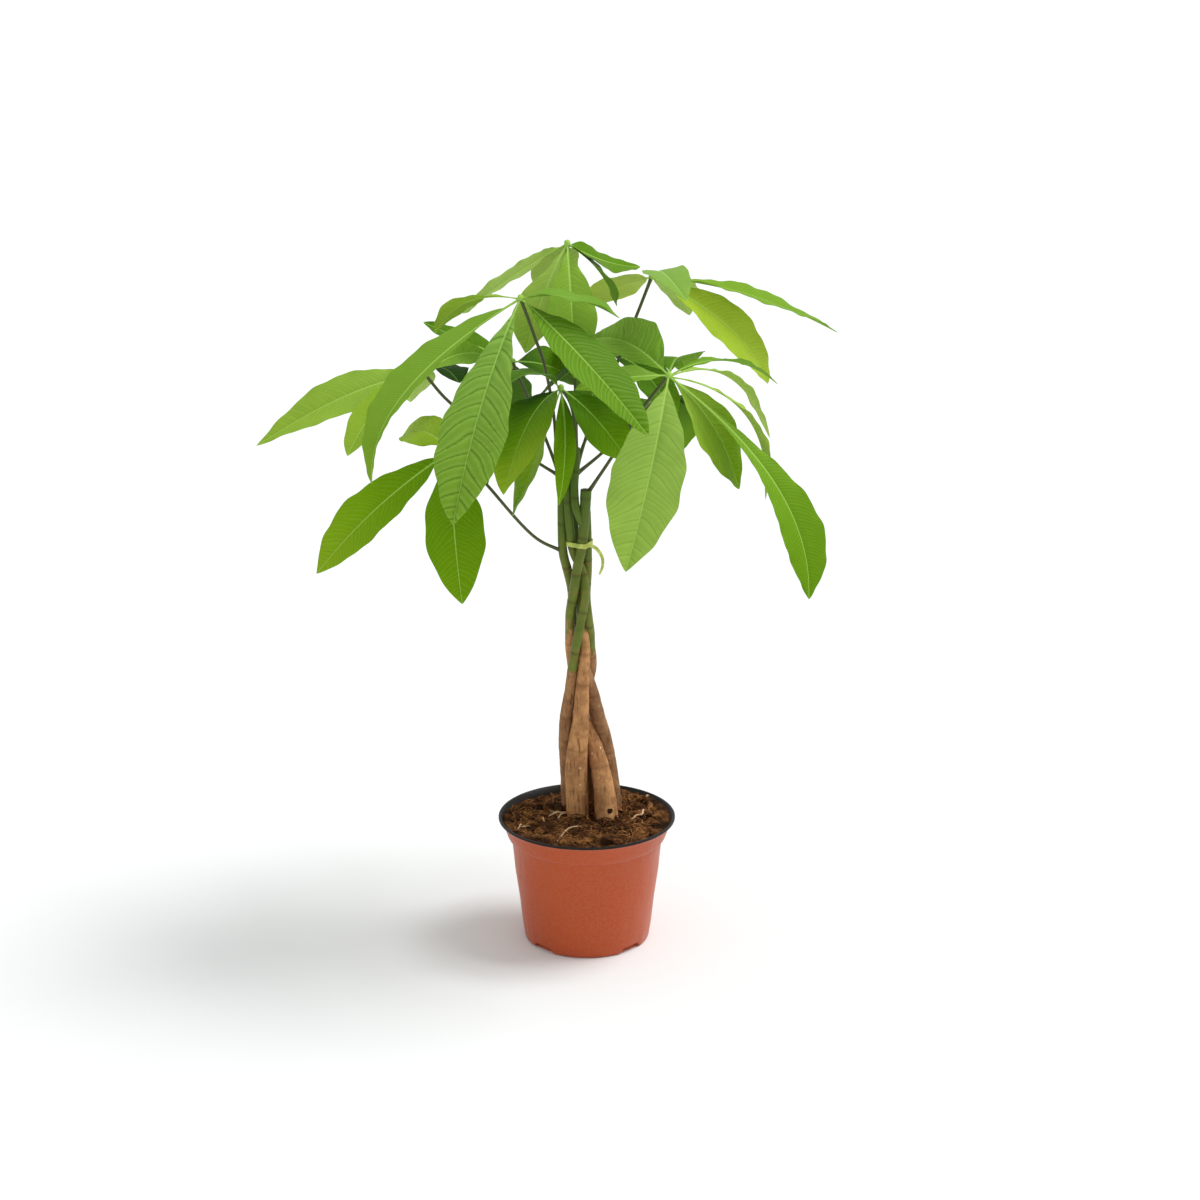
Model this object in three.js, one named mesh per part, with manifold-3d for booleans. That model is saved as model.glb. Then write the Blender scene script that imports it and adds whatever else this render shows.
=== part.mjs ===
// Potted money tree: five braided stems with palmate leaves, in a two-colour nursery pot.
// Millimetres, +Z up. The origin is on the pot's axis, on the surface that the pot stands on.
// +Y points away from the viewer and +X to the viewer's right.
import * as THREE from 'three';
import Module from 'manifold-3d';
import { mergeVertices } from 'three/addons/utils/BufferGeometryUtils.js';

const wasm = await Module();
wasm.setup();

// ---------------------------------------------------------------- driving dimensions
const GAP = 0.3; // clear space between pieces that touch

const POT_HEIGHT = 124;
const POT_RIM_RADIUS = 85;
const POT_WALL = 1.6;
const POT_FLOOR = 2.6;
const POT_SIDES = 36;
const NOTCH_COUNT = 4;
const NOTCH_HEIGHT = 6;
const NOTCH_HALF_ANGLE = 13; // degrees
const NOTCH_DEPTH = 5;
const DRAIN_COUNT = 6;
const DRAIN_RADIUS = 4.5;
const DRAIN_CIRCLE = 36;

const SOIL_LEVEL = 119; // at the foot of the braid
const SOIL_EDGE = 117; // against the wall of the pot
const SOIL_SINK = 5; // how far it has sunk at the back on the left
const SOIL_RINGS = 7;
const STEM_FOOT = 60; // how high the buried ends stand above the base
const STEM_SIDES = 10;
const STEM_STEPS = 2; // rings for each stretch between two points of a stem's path

const PETIOLE_RADIUS = 1.6;
const PETIOLE_SIDES = 6;
const KNOT_RADIUS = 3.6;

const BLADE_THICKNESS = 0.8;
const BLADE_STEPS = 7;
const BLADE_FOLD = 0.16; // rise of each half of a blade for each unit of its width
const BLADE_WAVE = 1.6;
const BLADE_FOOT = 0.05; // the share of a leaflet's length that is its own short stalk

// ---------------------------------------------------------------- helpers
const radians = THREE.MathUtils.degToRad;
const vec = (p) => new THREE.Vector3(p[0], p[1], p[2]);

function toSolid(geometry) {
  geometry.deleteAttribute('normal');
  geometry.deleteAttribute('uv');
  const merged = mergeVertices(geometry, 1e-4);
  const mesh = new wasm.Mesh({
    numProp: 3,
    vertProperties: new Float32Array(merged.attributes.position.array),
    triVerts: new Uint32Array(merged.index.array),
  });
  return new wasm.Manifold(mesh);
}

function toGeometry(solid) {
  const mesh = solid.getMesh();
  const geometry = new THREE.BufferGeometry();
  geometry.setAttribute('position', new THREE.BufferAttribute(mesh.vertProperties, 3));
  geometry.setIndex(new THREE.BufferAttribute(mesh.triVerts, 1));
  return geometry;
}

const join = (solids) => solids.reduce((sum, solid) => sum.add(solid));

// A closed skin over rings of points, each ring with as many points as the next.
function skin(rings) {
  const count = rings[0].length;
  const positions = rings.flat().flatMap((p) => [p.x, p.y, p.z]);
  const index = [];
  for (let i = 0; i + 1 < rings.length; i += 1) {
    for (let j = 0; j < count; j += 1) {
      const a = i * count + j;
      const b = i * count + ((j + 1) % count);
      index.push(a, b, b + count, a, b + count, a + count);
    }
  }
  const last = (rings.length - 1) * count;
  for (let j = 1; j + 1 < count; j += 1) {
    index.push(0, j + 1, j);
    index.push(last, last + j, last + j + 1);
  }
  const geometry = new THREE.BufferGeometry();
  geometry.setAttribute('position', new THREE.Float32BufferAttribute(positions, 3));
  geometry.setIndex(index);
  return geometry;
}

// ---------------------------------------------------------------- pot
// Outer profile from the base to the lip: [radius, height].
const POT_OUTSIDE = [
  [57.5, 0],
  [60.4, 2],
  [62.5, 15],
  [65.3, 41.5],
  [69.4, 71],
  [72.4, 101.5],
  [75.4, 104],
  [76.8, 107],
  [79.8, 115.5],
  [82, 120.4],
  [POT_RIM_RADIUS, 121.4],
  [POT_RIM_RADIUS, 123.4],
  [POT_RIM_RADIUS - 0.6, POT_HEIGHT],
];

// Inner profile from the lip to the floor. Its lowest corner is drawn in, over the notches.
const POT_INSIDE = [
  [POT_RIM_RADIUS - 2.6, POT_HEIGHT],
  [82.2 - POT_WALL, 121.4],
  [79.8 - POT_WALL, 115.9],
  [76.8 - POT_WALL, 107.6],
  [75 - POT_WALL, 105],
  [72 - POT_WALL, 101],
  [69.4 - POT_WALL, 71],
  [65.3 - POT_WALL, 41.5],
  [62.9 - POT_WALL, 19],
  [52, NOTCH_HEIGHT + 2.6],
  [48, POT_FLOOR],
];

function latheSolid(profile, sides) {
  const points = profile.map(([radius, height]) => new THREE.Vector2(radius, height));
  const geometry = new THREE.LatheGeometry(points, sides);
  geometry.rotateX(Math.PI / 2);
  return toSolid(geometry);
}

// One foot notch: a wedge with ramped ends, from outside the wall to NOTCH_DEPTH inside it.
function notchSolid(centreAngle) {
  const half = radians(NOTCH_HALF_ANGLE);
  const ramp = radians(3.5);
  const inner = 60.6 - NOTCH_DEPTH;
  const outer = 70;
  const outline = [
    [-half - ramp, -1],
    [half + ramp, -1],
    [half + ramp * 0.6, 1.5],
    [half - ramp * 0.4, NOTCH_HEIGHT - 0.6],
    [half - ramp, NOTCH_HEIGHT],
    [0, NOTCH_HEIGHT],
    [-half + ramp, NOTCH_HEIGHT],
    [-half + ramp * 0.4, NOTCH_HEIGHT - 0.6],
    [-half - ramp * 0.6, 1.5],
  ];
  const ringAt = (radius) => outline.map(([angle, height]) => new THREE.Vector3(
    radius * Math.cos(centreAngle + angle),
    radius * Math.sin(centreAngle + angle),
    height,
  ));
  return toSolid(skin([ringAt(inner), ringAt(outer)]));
}

function drainSolid(angle) {
  const geometry = new THREE.CylinderGeometry(DRAIN_RADIUS, DRAIN_RADIUS, 3 * POT_FLOOR, 12);
  geometry.rotateX(Math.PI / 2);
  geometry.translate(DRAIN_CIRCLE * Math.cos(angle), DRAIN_CIRCLE * Math.sin(angle), POT_FLOOR / 2);
  return toSolid(geometry);
}

function potSolid() {
  const profile = [[0, 0], ...POT_OUTSIDE, ...POT_INSIDE, [0, POT_FLOOR]];
  let pot = latheSolid(profile, POT_SIDES);
  for (let i = 0; i < NOTCH_COUNT; i += 1) {
    pot = pot.subtract(notchSolid(radians(45 + 90 * i)));
  }
  for (let i = 0; i < DRAIN_COUNT; i += 1) {
    pot = pot.subtract(drainSolid(radians(360 / DRAIN_COUNT) * i));
  }
  return pot;
}

// ---------------------------------------------------------------- stems
// Each stem: [x, y, z, radius] from its buried foot to its top. `browns` is the number of the
// point where the corky bark of the foot gives way to the green of the shoot.
const STEMS = [
  {
    browns: 8,
    path: [
      [-9, 16, STEM_FOOT, 8], [-9, 15, 116, 11.2], [-9.7, 13, 156, 11.3], [-8.7, 8, 186, 10.4],
      [-5.6, 6, 217, 8.1], [-4.5, 4.7, 245, 6.8], [-2.8, 4, 268, 6], [-1.8, 5, 288, 5.2],
      [-3.4, 8.2, 308, 4.8], [-4.4, 13.5, 322, 4.6], [-5, 18.5, 342, 4.5], [-7, 19, 366, 4.5],
      [-11, 15.5, 400, 4.5], [-12, 14, 443, 4.3], [-11, 14, 468, 3.4],
    ],
  },
  {
    browns: 6,
    path: [
      [-15, 34, STEM_FOOT, 7], [-15.5, 34, 116, 9.5], [-16.5, 32, 156, 9.2], [-19, 25, 186, 8.2],
      [-19.5, 17, 217, 6.6], [-16.2, 9.5, 247, 5.2], [-13.8, 4.5, 270, 4.7], [-10.8, 0.8, 290, 4.5],
      [-5.6, -1, 318, 4.4], [-1.2, 1.5, 345, 4.4], [-4, 8, 366, 4.4], [-12, 6.5, 386, 4.4],
      [-15.5, 4, 410, 4.4], [-17.5, 3.5, 440, 4.1], [-18.5, 5, 462, 3.2],
    ],
  },
  {
    browns: 8,
    path: [
      [20, 8, STEM_FOOT, 8], [19, 9, 116, 11.6], [15, 10, 154, 10], [8, 18.5, 184, 8.2],
      [-4.9, 22.5, 217, 7], [-9.5, 23, 240, 6], [-12.8, 23, 266, 5.3], [-15.5, 15, 290, 4.9],
      [-15.6, 10.5, 306, 4.7], [-15.2, 6, 326, 4.7], [-12, 1, 348, 4.7], [-8.6, -1, 372, 4.7],
      [-4.4, -1, 392, 4.7], [-2, -0.5, 415, 4.9], [-0.3, 0, 447, 5.4],
    ],
  },
  {
    browns: 8,
    path: [
      [26, 32, STEM_FOOT, 7], [25, 32, 116, 9], [21.6, 29, 156, 9], [17, 31, 188, 8.3],
      [10.8, 23, 217, 7.4], [4.6, 17.5, 245, 6.6], [-0.5, 14.8, 262, 5.9], [-5, 17, 278, 5.3],
      [-8, 20, 294, 4.9], [-13, 21, 316, 4.7], [-13.6, 15.5, 345, 4.6], [-17.8, 11, 366, 4.5],
      [-21.8, 9, 384, 4.4], [-23, 8, 415, 4.1], [-23.5, 8, 450, 3.7], [-26, 8, 476, 3],
    ],
  },
  {
    browns: 7,
    path: [
      [4, 46, STEM_FOOT, 7], [4, 46, 116, 9], [4, 42, 154, 8.4], [1, 38, 186, 7.8],
      [-4, 36, 217, 6.9], [-0.4, 32, 244, 6.1], [4, 27, 266, 5.5], [3.2, 19.5, 288, 5.1],
      [3, 13.6, 304, 4.9], [1.6, 6, 320, 4.6], [-0.4, 10.5, 340, 4.5], [1, 15, 366, 4.4],
      [1, 11, 392, 4.3], [0.4, 11.5, 420, 4], [-0.6, 12, 440, 3.4],
    ],
  },
];

// The young shoot that sprang from the side of the pruned stem: [x, y, z, radius].
const PRUNED_STEM = 2;
const SIDE_SHOOT = [
  [-4, -0.5, 414, 3.2], [-9.5, -2.5, 430, 4], [-11, 1, 450, 3.8], [-9.5, 3, 468, 3.6], [-8.5, 4, 486, 3],
];

// Points and radii along a path, with `count` steps between neighbouring points.
function samplePath(path, count = STEM_STEPS) {
  const curve = new THREE.CatmullRomCurve3(path.map(vec));
  const spans = path.length - 1;
  const samples = [];
  for (let i = 0; i <= spans * count; i += 1) {
    const t = i / (spans * count);
    const low = Math.min(Math.floor(t * spans), spans - 1);
    const radius = THREE.MathUtils.lerp(path[low][3], path[low + 1][3], t * spans - low);
    samples.push({ centre: curve.getPoint(t), along: curve.getTangent(t), radius });
  }
  return samples;
}

// A round stem over samples of a path. The ends move outwards by `reach`.
function stemSolid(samples, sides, extra = 0, reach = 0) {
  const away = new THREE.Vector3(0, 1, 0);
  const rings = samples.map(({ centre, along, radius }, i) => {
    const across = new THREE.Vector3().crossVectors(away, along).normalize();
    const out = new THREE.Vector3().crossVectors(along, across);
    const shift = (i === 0 ? -reach : 0) + (i === samples.length - 1 ? reach : 0);
    const middle = centre.clone().addScaledVector(along, shift);
    return Array.from({ length: sides }, (_, j) => {
      const angle = (2 * Math.PI * j) / sides;
      return middle.clone()
        .addScaledVector(across, (radius + extra) * Math.cos(angle))
        .addScaledVector(out, (radius + extra) * Math.sin(angle));
    });
  });
  return toSolid(skin(rings));
}

// ---------------------------------------------------------------- soil
// Inner wall of the pot as [height, radius], used to fit the soil against it.
const wallInside = POT_INSIDE.slice(1).map(([radius, height]) => [height, radius]).reverse();

function wallRadius(height) {
  const above = wallInside.findIndex(([level]) => level >= height);
  const [z1, r1] = wallInside[Math.max(above, 1)];
  const [z0, r0] = wallInside[Math.max(above, 1) - 1];
  return THREE.MathUtils.mapLinear(height, z0, z1, r0, r1);
}

// Height of the soil: a low mound round the braid, uneven with clods and fibres.
function soilHeight(x, y) {
  const spread = Math.min(1, Math.hypot(x, y) / wallRadius(SOIL_EDGE));
  const mound = THREE.MathUtils.lerp(SOIL_LEVEL, SOIL_EDGE, spread ** 2.4);
  const sunken = SOIL_SINK * spread ** 2 * Math.max(0, (y - x) / 110);
  const clods = 1.1 * Math.sin(0.21 * x + 0.9) * Math.cos(0.27 * y)
    + 0.9 * Math.sin(0.37 * x - 0.31 * y + 2)
    + 0.7 * Math.sin(0.55 * y + 0.4) * Math.sin(0.49 * x);
  return mound - sunken + clods * (1 - spread ** 6);
}

function soilSolid() {
  const ring = (place) => Array.from({ length: POT_SIDES }, (_, j) => {
    const angle = (2 * Math.PI * j) / POT_SIDES;
    const { radius, height } = place(Math.cos(angle), Math.sin(angle));
    return new THREE.Vector3(radius * Math.cos(angle), radius * Math.sin(angle), height);
  });
  const clear = GAP + 0.1;
  const rings = [ring(() => ({ radius: 1, height: POT_FLOOR + GAP }))];
  wallInside.filter(([height]) => height < SOIL_EDGE - SOIL_SINK - 2).forEach(([height, radius]) => {
    rings.push(ring(() => ({ radius: radius - clear, height: height + GAP })));
  });
  const brim = (x, y) => soilHeight(x * wallRadius(SOIL_EDGE), y * wallRadius(SOIL_EDGE)) - 1;
  rings.push(ring((x, y) => ({ radius: wallRadius(brim(x, y)) - clear, height: brim(x, y) })));
  for (let i = 0; i < SOIL_RINGS; i += 1) {
    rings.push(ring((x, y) => {
      const reach = wallRadius(brim(x, y)) - clear - 1.5;
      const radius = Math.max(1, reach * (1 - i / (SOIL_RINGS - 1)));
      return { radius, height: soilHeight(x * radius, y * radius) };
    }));
  }
  return toSolid(skin(rings));
}

// ---------------------------------------------------------------- tie
// A flat strip round the stems named here, at one height, with a loose tail on the right.
const TIE_STEMS = [0, 1, 2, 4];
const TIE_LOW = 392;
const TIE_HIGH = 396.5;
const TIE_THICKNESS = 1;
const TIE_TAIL = [[-5, -6, 394], [3, -7.4, 395.5], [9, -8, 393], [14.5, -9, 385], [15, -9, 376], [12, -9, 368]];

// The stretched outline round a set of circles, pushed out by `extra`.
function wrappedOutline(circles, extra) {
  const steps = 36;
  const points = [];
  for (let i = 0; i < steps; i += 1) {
    const angle = (2 * Math.PI * i) / steps;
    const reach = (c) => c.x * Math.cos(angle) + c.y * Math.sin(angle) + c.radius;
    const widest = circles.reduce((best, c) => (reach(c) > reach(best) ? c : best));
    points.push(new THREE.Vector2(
      widest.x + (widest.radius + extra) * Math.cos(angle),
      widest.y + (widest.radius + extra) * Math.sin(angle),
    ));
  }
  return points;
}

function tieSolid() {
  const height = (TIE_LOW + TIE_HIGH) / 2;
  const circles = TIE_STEMS.map((i) => {
    const samples = samplePath(STEMS[i].path, 12);
    const gapTo = (s) => Math.abs(s.centre.z - height);
    const near = samples.reduce((best, s) => (gapTo(s) < gapTo(best) ? s : best));
    return { x: near.centre.x, y: near.centre.y, radius: near.radius };
  });
  const outline = new THREE.Shape(wrappedOutline(circles, TIE_THICKNESS));
  outline.holes.push(new THREE.Path(wrappedOutline(circles, -0.1)));
  const band = new THREE.ExtrudeGeometry(outline, {
    depth: TIE_HIGH - TIE_LOW, bevelEnabled: false,
  });
  band.translate(0, 0, TIE_LOW);
  const strip = new THREE.Shape([
    new THREE.Vector2(-1.6, -0.45), new THREE.Vector2(1.6, -0.45),
    new THREE.Vector2(1.6, 0.45), new THREE.Vector2(-1.6, 0.45),
  ]);
  const tail = new THREE.ExtrudeGeometry(strip, {
    steps: 10, extrudePath: new THREE.CatmullRomCurve3(TIE_TAIL.map(vec)),
  });
  return toSolid(band).add(toSolid(tail));
}

// ---------------------------------------------------------------- leaves
// Each leaf: its knot, the route of its petiole from the stem `stem`, and its leaflets.
// A leaflet: tip and bow as [x, y, z], its width and its roll in degrees. The tip is measured
// from the knot and the bow from the middle of the straight line between them. `peak` is how far
// along the leaflet it is widest, and `lean` how much wider its left half is than its right.
const LEAVES = [
  {
    name: 'leaf_top', stem: 2, knot: [-17, 15, 675],
    petiole: [[-9, 4, 478], [-10, 14, 540], [-15, 20, 610]],
    leaflets: [
      { tip: [-99, 63, -77], bow: [-3, 0, 5], width: 38, roll: -30 },
      { tip: [-38, -36, -94], bow: [-5, -8, 8], width: 46, roll: -10, peak: 0.64 },
      { tip: [7, -55, -113], bow: [1, -25, 12], width: 44, roll: 5 },
      { tip: [46, 40, -66], bow: [10, 0, 12], width: 32, roll: 24 },
      { tip: [68, 70, -34], bow: [0, 0, -10], width: 33, roll: 32, peak: 0.34, lean: -0.2 },
      { tip: [-20, 105, -80], bow: [0, 15, 20], width: 44, roll: 0 },
    ],
  },
  {
    name: 'leaf_front_left', stem: 3, knot: [-58, -60, 639],
    petiole: [[-27, 8, 470], [-30, 0, 520], [-38, -18, 570], [-46, -41, 600]],
    leaflets: [
      { tip: [-79, 50, -42], bow: [-16, 0, 27], width: 36, roll: 14, peak: 0.64, lean: -0.25 },
      { tip: [-131, -60, -154], bow: [-73, 0, -2], width: 32, roll: -20, peak: 0.42, lean: -0.5 },
      { tip: [-58, -100, -181], bow: [-10, -25, 12], width: 68, roll: 0, peak: 0.6, lean: 0.06 },
      { tip: [112, -80, -106], bow: [0, -10, 14], width: 58, roll: 8 },
      { tip: [88, -12, -16], bow: [0, 0, 20], width: 34, roll: 0, peak: 0.45 },
    ],
  },
  {
    name: 'leaf_right_high', stem: 2, knot: [61, 55, 637],
    petiole: [[-8, 4, 474], [1, 15, 496], [24, 38, 547], [46, 54, 598]],
    leaflets: [
      { tip: [-68, 50, -38], bow: [0, 0, 8], width: 34, roll: 40, peak: 0.46, lean: -0.15 },
      { tip: [28, -112, -1], bow: [-10, 10, 27], width: 40, roll: 0 },
      { tip: [111, 20, -106], bow: [36, 0, 6], width: 47, roll: 48, peak: 0.52 },
      { tip: [179, 50, -63], bow: [0, 0, 22], width: 36, roll: 10, peak: 0.6 },
      { tip: [40, 120, -60], bow: [0, 10, 26], width: 44, roll: 0 },
    ],
  },
  {
    name: 'leaf_right_low', stem: 2, knot: [74, -55, 568],
    petiole: [[2, 1, 445], [25, -5, 482], [50, -30, 530]],
    leaflets: [
      { tip: [-40, -120, -148], bow: [5, -25, 10], width: 68, roll: 0 },
      { tip: [127, -40, -198], bow: [67, 0, 4], width: 42, roll: 42, peak: 0.7, lean: 0.08 },
      { tip: [66, 20, -111], bow: [16, 0, 12], width: 52, roll: 55, lean: -0.15 },
      { tip: [106, 110, -33], bow: [3, 0, 37], width: 18, roll: 0 },
      { tip: [96, 60, -73], bow: [15, -5, 58], width: 24, roll: 0 },
      { tip: [90, 15, -120], bow: [50, 0, 45], width: 34, roll: 0, peak: 0.6 },
      { tip: [20, 95, -18], bow: [0, 0, 31], width: 46, roll: -10 },
      { tip: [-72, 95, 12], bow: [-2, 0, 28], width: 62, roll: -20, peak: 0.54, lean: -0.1 },
      { tip: [-84, -20, -9], bow: [0, 0, 8], width: 30, roll: -25 },
    ],
  },
  {
    name: 'leaf_left', stem: 3, knot: [-150, 30, 551],
    petiole: [[-27, 8, 460], [-42, 10, 469], [-126, 26, 524]],
    leaflets: [
      { tip: [-157, -10, -66], bow: [19, 0, 30], width: 46, roll: -35, peak: 0.52 },
      { tip: [-67, -70, -61], bow: [-14, 0, 14], width: 38, roll: -10 },
      { tip: [-20, 100, -50], bow: [-6, 0, 16], width: 42, roll: 0 },
      { tip: [28, 95, -30], bow: [0, 10, 20], width: 42, roll: 0 },
      { tip: [55, 30, 12], bow: [0, 0, 16], width: 46, roll: 20 },
    ],
  },
  {
    name: 'leaf_left_low', stem: 3, knot: [-123, -35, 494],
    petiole: [[-23, 8, 386], [-47, 0, 401], [-99, -26, 468]],
    leaflets: [
      { tip: [-123, -30, -108], bow: [-10, 0, 10], width: 53, roll: -35, peak: 0.54 },
      { tip: [11, -60, -128], bow: [-4, -20, 8], width: 55, roll: 0, peak: 0.52 },
      { tip: [-49, 88, -6], bow: [-2, 0, 19], width: 40, roll: -35 },
      { tip: [20, 95, -58], bow: [0, 10, 22], width: 44, roll: 0 },
    ],
  },
  {
    name: 'leaf_middle', stem: 2, knot: [-23, -25, 550],
    petiole: [[-9, 3, 470], [-9, 1, 495], [-14, -8, 530]],
    leaflets: [
      { tip: [-51, -70, -82], bow: [-6, -20, 40], width: 66, roll: 10 },
      { tip: [-45, -10, -119], bow: [7, 0, 14], width: 72, roll: 0, peak: 0.6 },
      { tip: [-2, -40, -100], bow: [10, -15, 5], width: 20, roll: 0, peak: 0.48 },
      { tip: [64, -20, -68], bow: [0, 0, 15], width: 58, roll: 20, lean: -0.12 },
      { tip: [-50, -38, 10], bow: [6, 0, 26], width: 34, roll: 0 },
    ],
  },
  {
    name: 'leaf_back_right', stem: 2, knot: [21, 62, 564],
    petiole: [[-8, 5, 470], [2, 20, 500], [16, 48, 538]],
    leaflets: [
      { tip: [62, -20, -62], bow: [8, 0, 26], width: 56, roll: 14 },
      { tip: [-72, -20, -46], bow: [0, 0, 16], width: 50, roll: 20 },
      { tip: [-20, 75, -80], bow: [0, 10, 15], width: 42, roll: 0 },
      { tip: [-42, 105, -30], bow: [0, 10, 26], width: 44, roll: 0 },
      { tip: [40, 120, -60], bow: [0, 10, 30], width: 46, roll: 0 },
    ],
  },
  {
    name: 'leaf_back_left', stem: 3, knot: [-70, 98, 548],
    petiole: [[-27, 8, 466], [-40, 38, 492], [-61, 82, 530]],
    leaflets: [
      { tip: [-86, 30, 32], bow: [0, 0, 0], width: 30, roll: -15 },
      { tip: [-48, -38, -34], bow: [0, 0, 10], width: 30, roll: 0 },
      { tip: [-10, 115, -110], bow: [0, 15, 20], width: 46, roll: 0 },
      { tip: [66, 28, -28], bow: [0, 0, 14], width: 44, roll: 35 },
      { tip: [-25, -20, -118], bow: [-16, 0, 10], width: 46, roll: 0 },
    ],
  },
  {
    name: 'leaf_back_low', stem: 2, knot: [71, 98, 513],
    petiole: [[-8, 5, 462], [18, 30, 478], [55, 78, 504]],
    leaflets: [
      { tip: [35, 115, -70], bow: [5, 10, 30], width: 46, roll: 0 },
      { tip: [-45, 105, -85], bow: [0, 10, 25], width: 48, roll: 0 },
      { tip: [22, 70, -72], bow: [10, 5, 20], width: 40, roll: 0 },
      { tip: [40, 50, -30], bow: [5, 0, 15], width: 36, roll: 0 },
    ],
  },
];

// Half the width of a leaflet from its foot, at 0, to its tip, at 1, where the widest is 1.
function leafletOutline(t, peak) {
  const along = Math.max(0, t - BLADE_FOOT) / (1 - BLADE_FOOT);
  return Math.sin(Math.PI * along ** (Math.log(0.5) / Math.log(peak))) ** 0.85;
}

function leafletSolid(knot, leaflet) {
  const { tip, bow, width, roll, peak = 0.55, lean = 0 } = leaflet;
  const start = vec(knot).addScaledVector(vec(tip).normalize(), KNOT_RADIUS / 2);
  const end = vec(knot).add(vec(tip));
  const middle = start.clone().add(end).multiplyScalar(0.5).add(vec(bow));
  const midrib = new THREE.QuadraticBezierCurve3(start, middle, end);
  const level = new THREE.Vector3(-tip[1], tip[0], 0).normalize();
  const sections = [];
  for (let i = 0; i <= BLADE_STEPS; i += 1) {
    const t = i / BLADE_STEPS;
    const centre = midrib.getPoint(t);
    const along = midrib.getTangent(t);
    const side = level.clone().addScaledVector(along, -level.dot(along)).normalize();
    side.applyAxisAngle(along, radians(roll));
    const up = new THREE.Vector3().crossVectors(along, side);
    const half = Math.max(1.3, (width / 2) * leafletOutline(t, peak));
    const left = half * (1 + lean);
    const right = half * (1 - lean);
    const taper = Math.min(1, half / 8);
    const point = (across, height) => centre.clone()
      .addScaledVector(side, across)
      .addScaledVector(up, height);
    const waveLeft = BLADE_WAVE * taper * Math.sin(9.5 * t + tip[0]);
    const waveRight = BLADE_WAVE * taper * Math.sin(8.5 * t + tip[1]);
    const riseLeft = BLADE_FOLD * left + waveLeft;
    const riseRight = BLADE_FOLD * right + waveRight;
    const thick = BLADE_THICKNESS;
    sections.push([
      point(left, riseLeft), point(0, 0), point(-right, riseRight),
      point(-right, riseRight - thick), point(0, -thick), point(left, riseLeft - thick),
    ]);
  }
  return bladeSolid(sections);
}

// A thin blade over sections of six points: three above, from edge to edge, and three below.
// Both faces are split along the same diagonals, so they stay apart where the blade waves.
function bladeSolid(sections) {
  const positions = sections.flat().flatMap((p) => [p.x, p.y, p.z]);
  const index = [];
  for (let i = 0; i + 1 < sections.length; i += 1) {
    const a = 6 * i;
    const b = a + 6;
    for (const j of [0, 1]) {
      index.push(a + j, b + j + 1, b + j, a + j, a + j + 1, b + j + 1);
      index.push(a + 5 - j, b + 5 - j, b + 4 - j, a + 5 - j, b + 4 - j, a + 4 - j);
    }
    index.push(a + 2, b + 3, b + 2, a + 2, a + 3, b + 3);
    index.push(a + 5, b, b + 5, a + 5, a, b);
  }
  const last = 6 * (sections.length - 1);
  index.push(0, 4, 1, 0, 5, 4, 1, 3, 2, 1, 4, 3);
  index.push(last, last + 1, last + 4, last, last + 4, last + 5);
  index.push(last + 1, last + 2, last + 3, last + 1, last + 3, last + 4);
  const geometry = new THREE.BufferGeometry();
  geometry.setAttribute('position', new THREE.Float32BufferAttribute(positions, 3));
  geometry.setIndex(index);
  return toSolid(geometry);
}

function leafSolid(leaf) {
  const knot = new THREE.SphereGeometry(KNOT_RADIUS, 8, 5);
  knot.translate(...leaf.knot);
  return join([toSolid(knot), ...leaf.leaflets.map((leaflet) => leafletSolid(leaf.knot, leaflet))]);
}

// A petiole runs from inside its stem to just short of the leaf's knot.
function petioleSolid(leaf) {
  const knot = vec(leaf.knot);
  const route = leaf.petiole.map(vec);
  const arrival = knot.clone().sub(route[route.length - 1]).normalize();
  route.push(knot.clone().addScaledVector(arrival, -(KNOT_RADIUS + GAP)));
  const outline = new THREE.Shape();
  outline.absarc(0, 0, PETIOLE_RADIUS, 0, 2 * Math.PI);
  const geometry = new THREE.ExtrudeGeometry(outline, {
    steps: 2 * route.length,
    curveSegments: PETIOLE_SIDES / 2,
    extrudePath: new THREE.CatmullRomCurve3(route),
  });
  return toSolid(geometry);
}

// ---------------------------------------------------------------- assembly
const group = new THREE.Group();

function addPiece(name, solid, colour, roughness) {
  const material = new THREE.MeshStandardMaterial({ color: colour, roughness, metalness: 0 });
  const mesh = new THREE.Mesh(toGeometry(solid), material);
  mesh.name = name;
  group.add(mesh);
}

const stems = STEMS.map(({ path, browns }) => {
  const samples = samplePath(path);
  const cut = STEM_STEPS * browns;
  return {
    foot: samples.slice(0, cut + 1),
    shoot: samples.slice(cut),
    room: stemSolid(samples, STEM_SIDES, GAP, GAP),
  };
});

// Stems press against each other: each one gives way to those before it.
function pressed(solid, number) {
  return stems.slice(0, number).reduce((rest, stem) => rest.subtract(stem.room), solid);
}

addPiece('pot', potSolid(), '#b0532f', 0.45);
const soil = stems.reduce((rest, stem) => rest.subtract(stem.room), soilSolid());
addPiece('potting_soil', soil, '#4a2e1a', 0.95);
stems.forEach(({ foot }, i) => {
  addPiece(`trunk_${i + 1}`, pressed(stemSolid(foot, STEM_SIDES), i), '#92643c', 0.85);
});
stems.forEach(({ shoot }, i) => {
  const parts = [pressed(stemSolid(shoot, STEM_SIDES, 0, -GAP), i)];
  if (i === PRUNED_STEM) {
    parts.push(stemSolid(samplePath(SIDE_SHOOT), 10));
  }
  LEAVES.filter((leaf) => leaf.stem === i).forEach((leaf) => parts.push(petioleSolid(leaf)));
  addPiece(`shoot_${i + 1}`, join(parts), '#4f6a24', 0.6);
});
addPiece('tie', stems.reduce((rest, stem) => rest.subtract(stem.room), tieSolid()), '#a3a653', 0.55);
LEAVES.forEach((leaf) => addPiece(leaf.name, leafSolid(leaf), '#6fa82a', 0.5));

export default group;
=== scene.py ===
import math
import random

import bmesh
import bpy
import numpy as np
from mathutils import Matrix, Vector, noise


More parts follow.
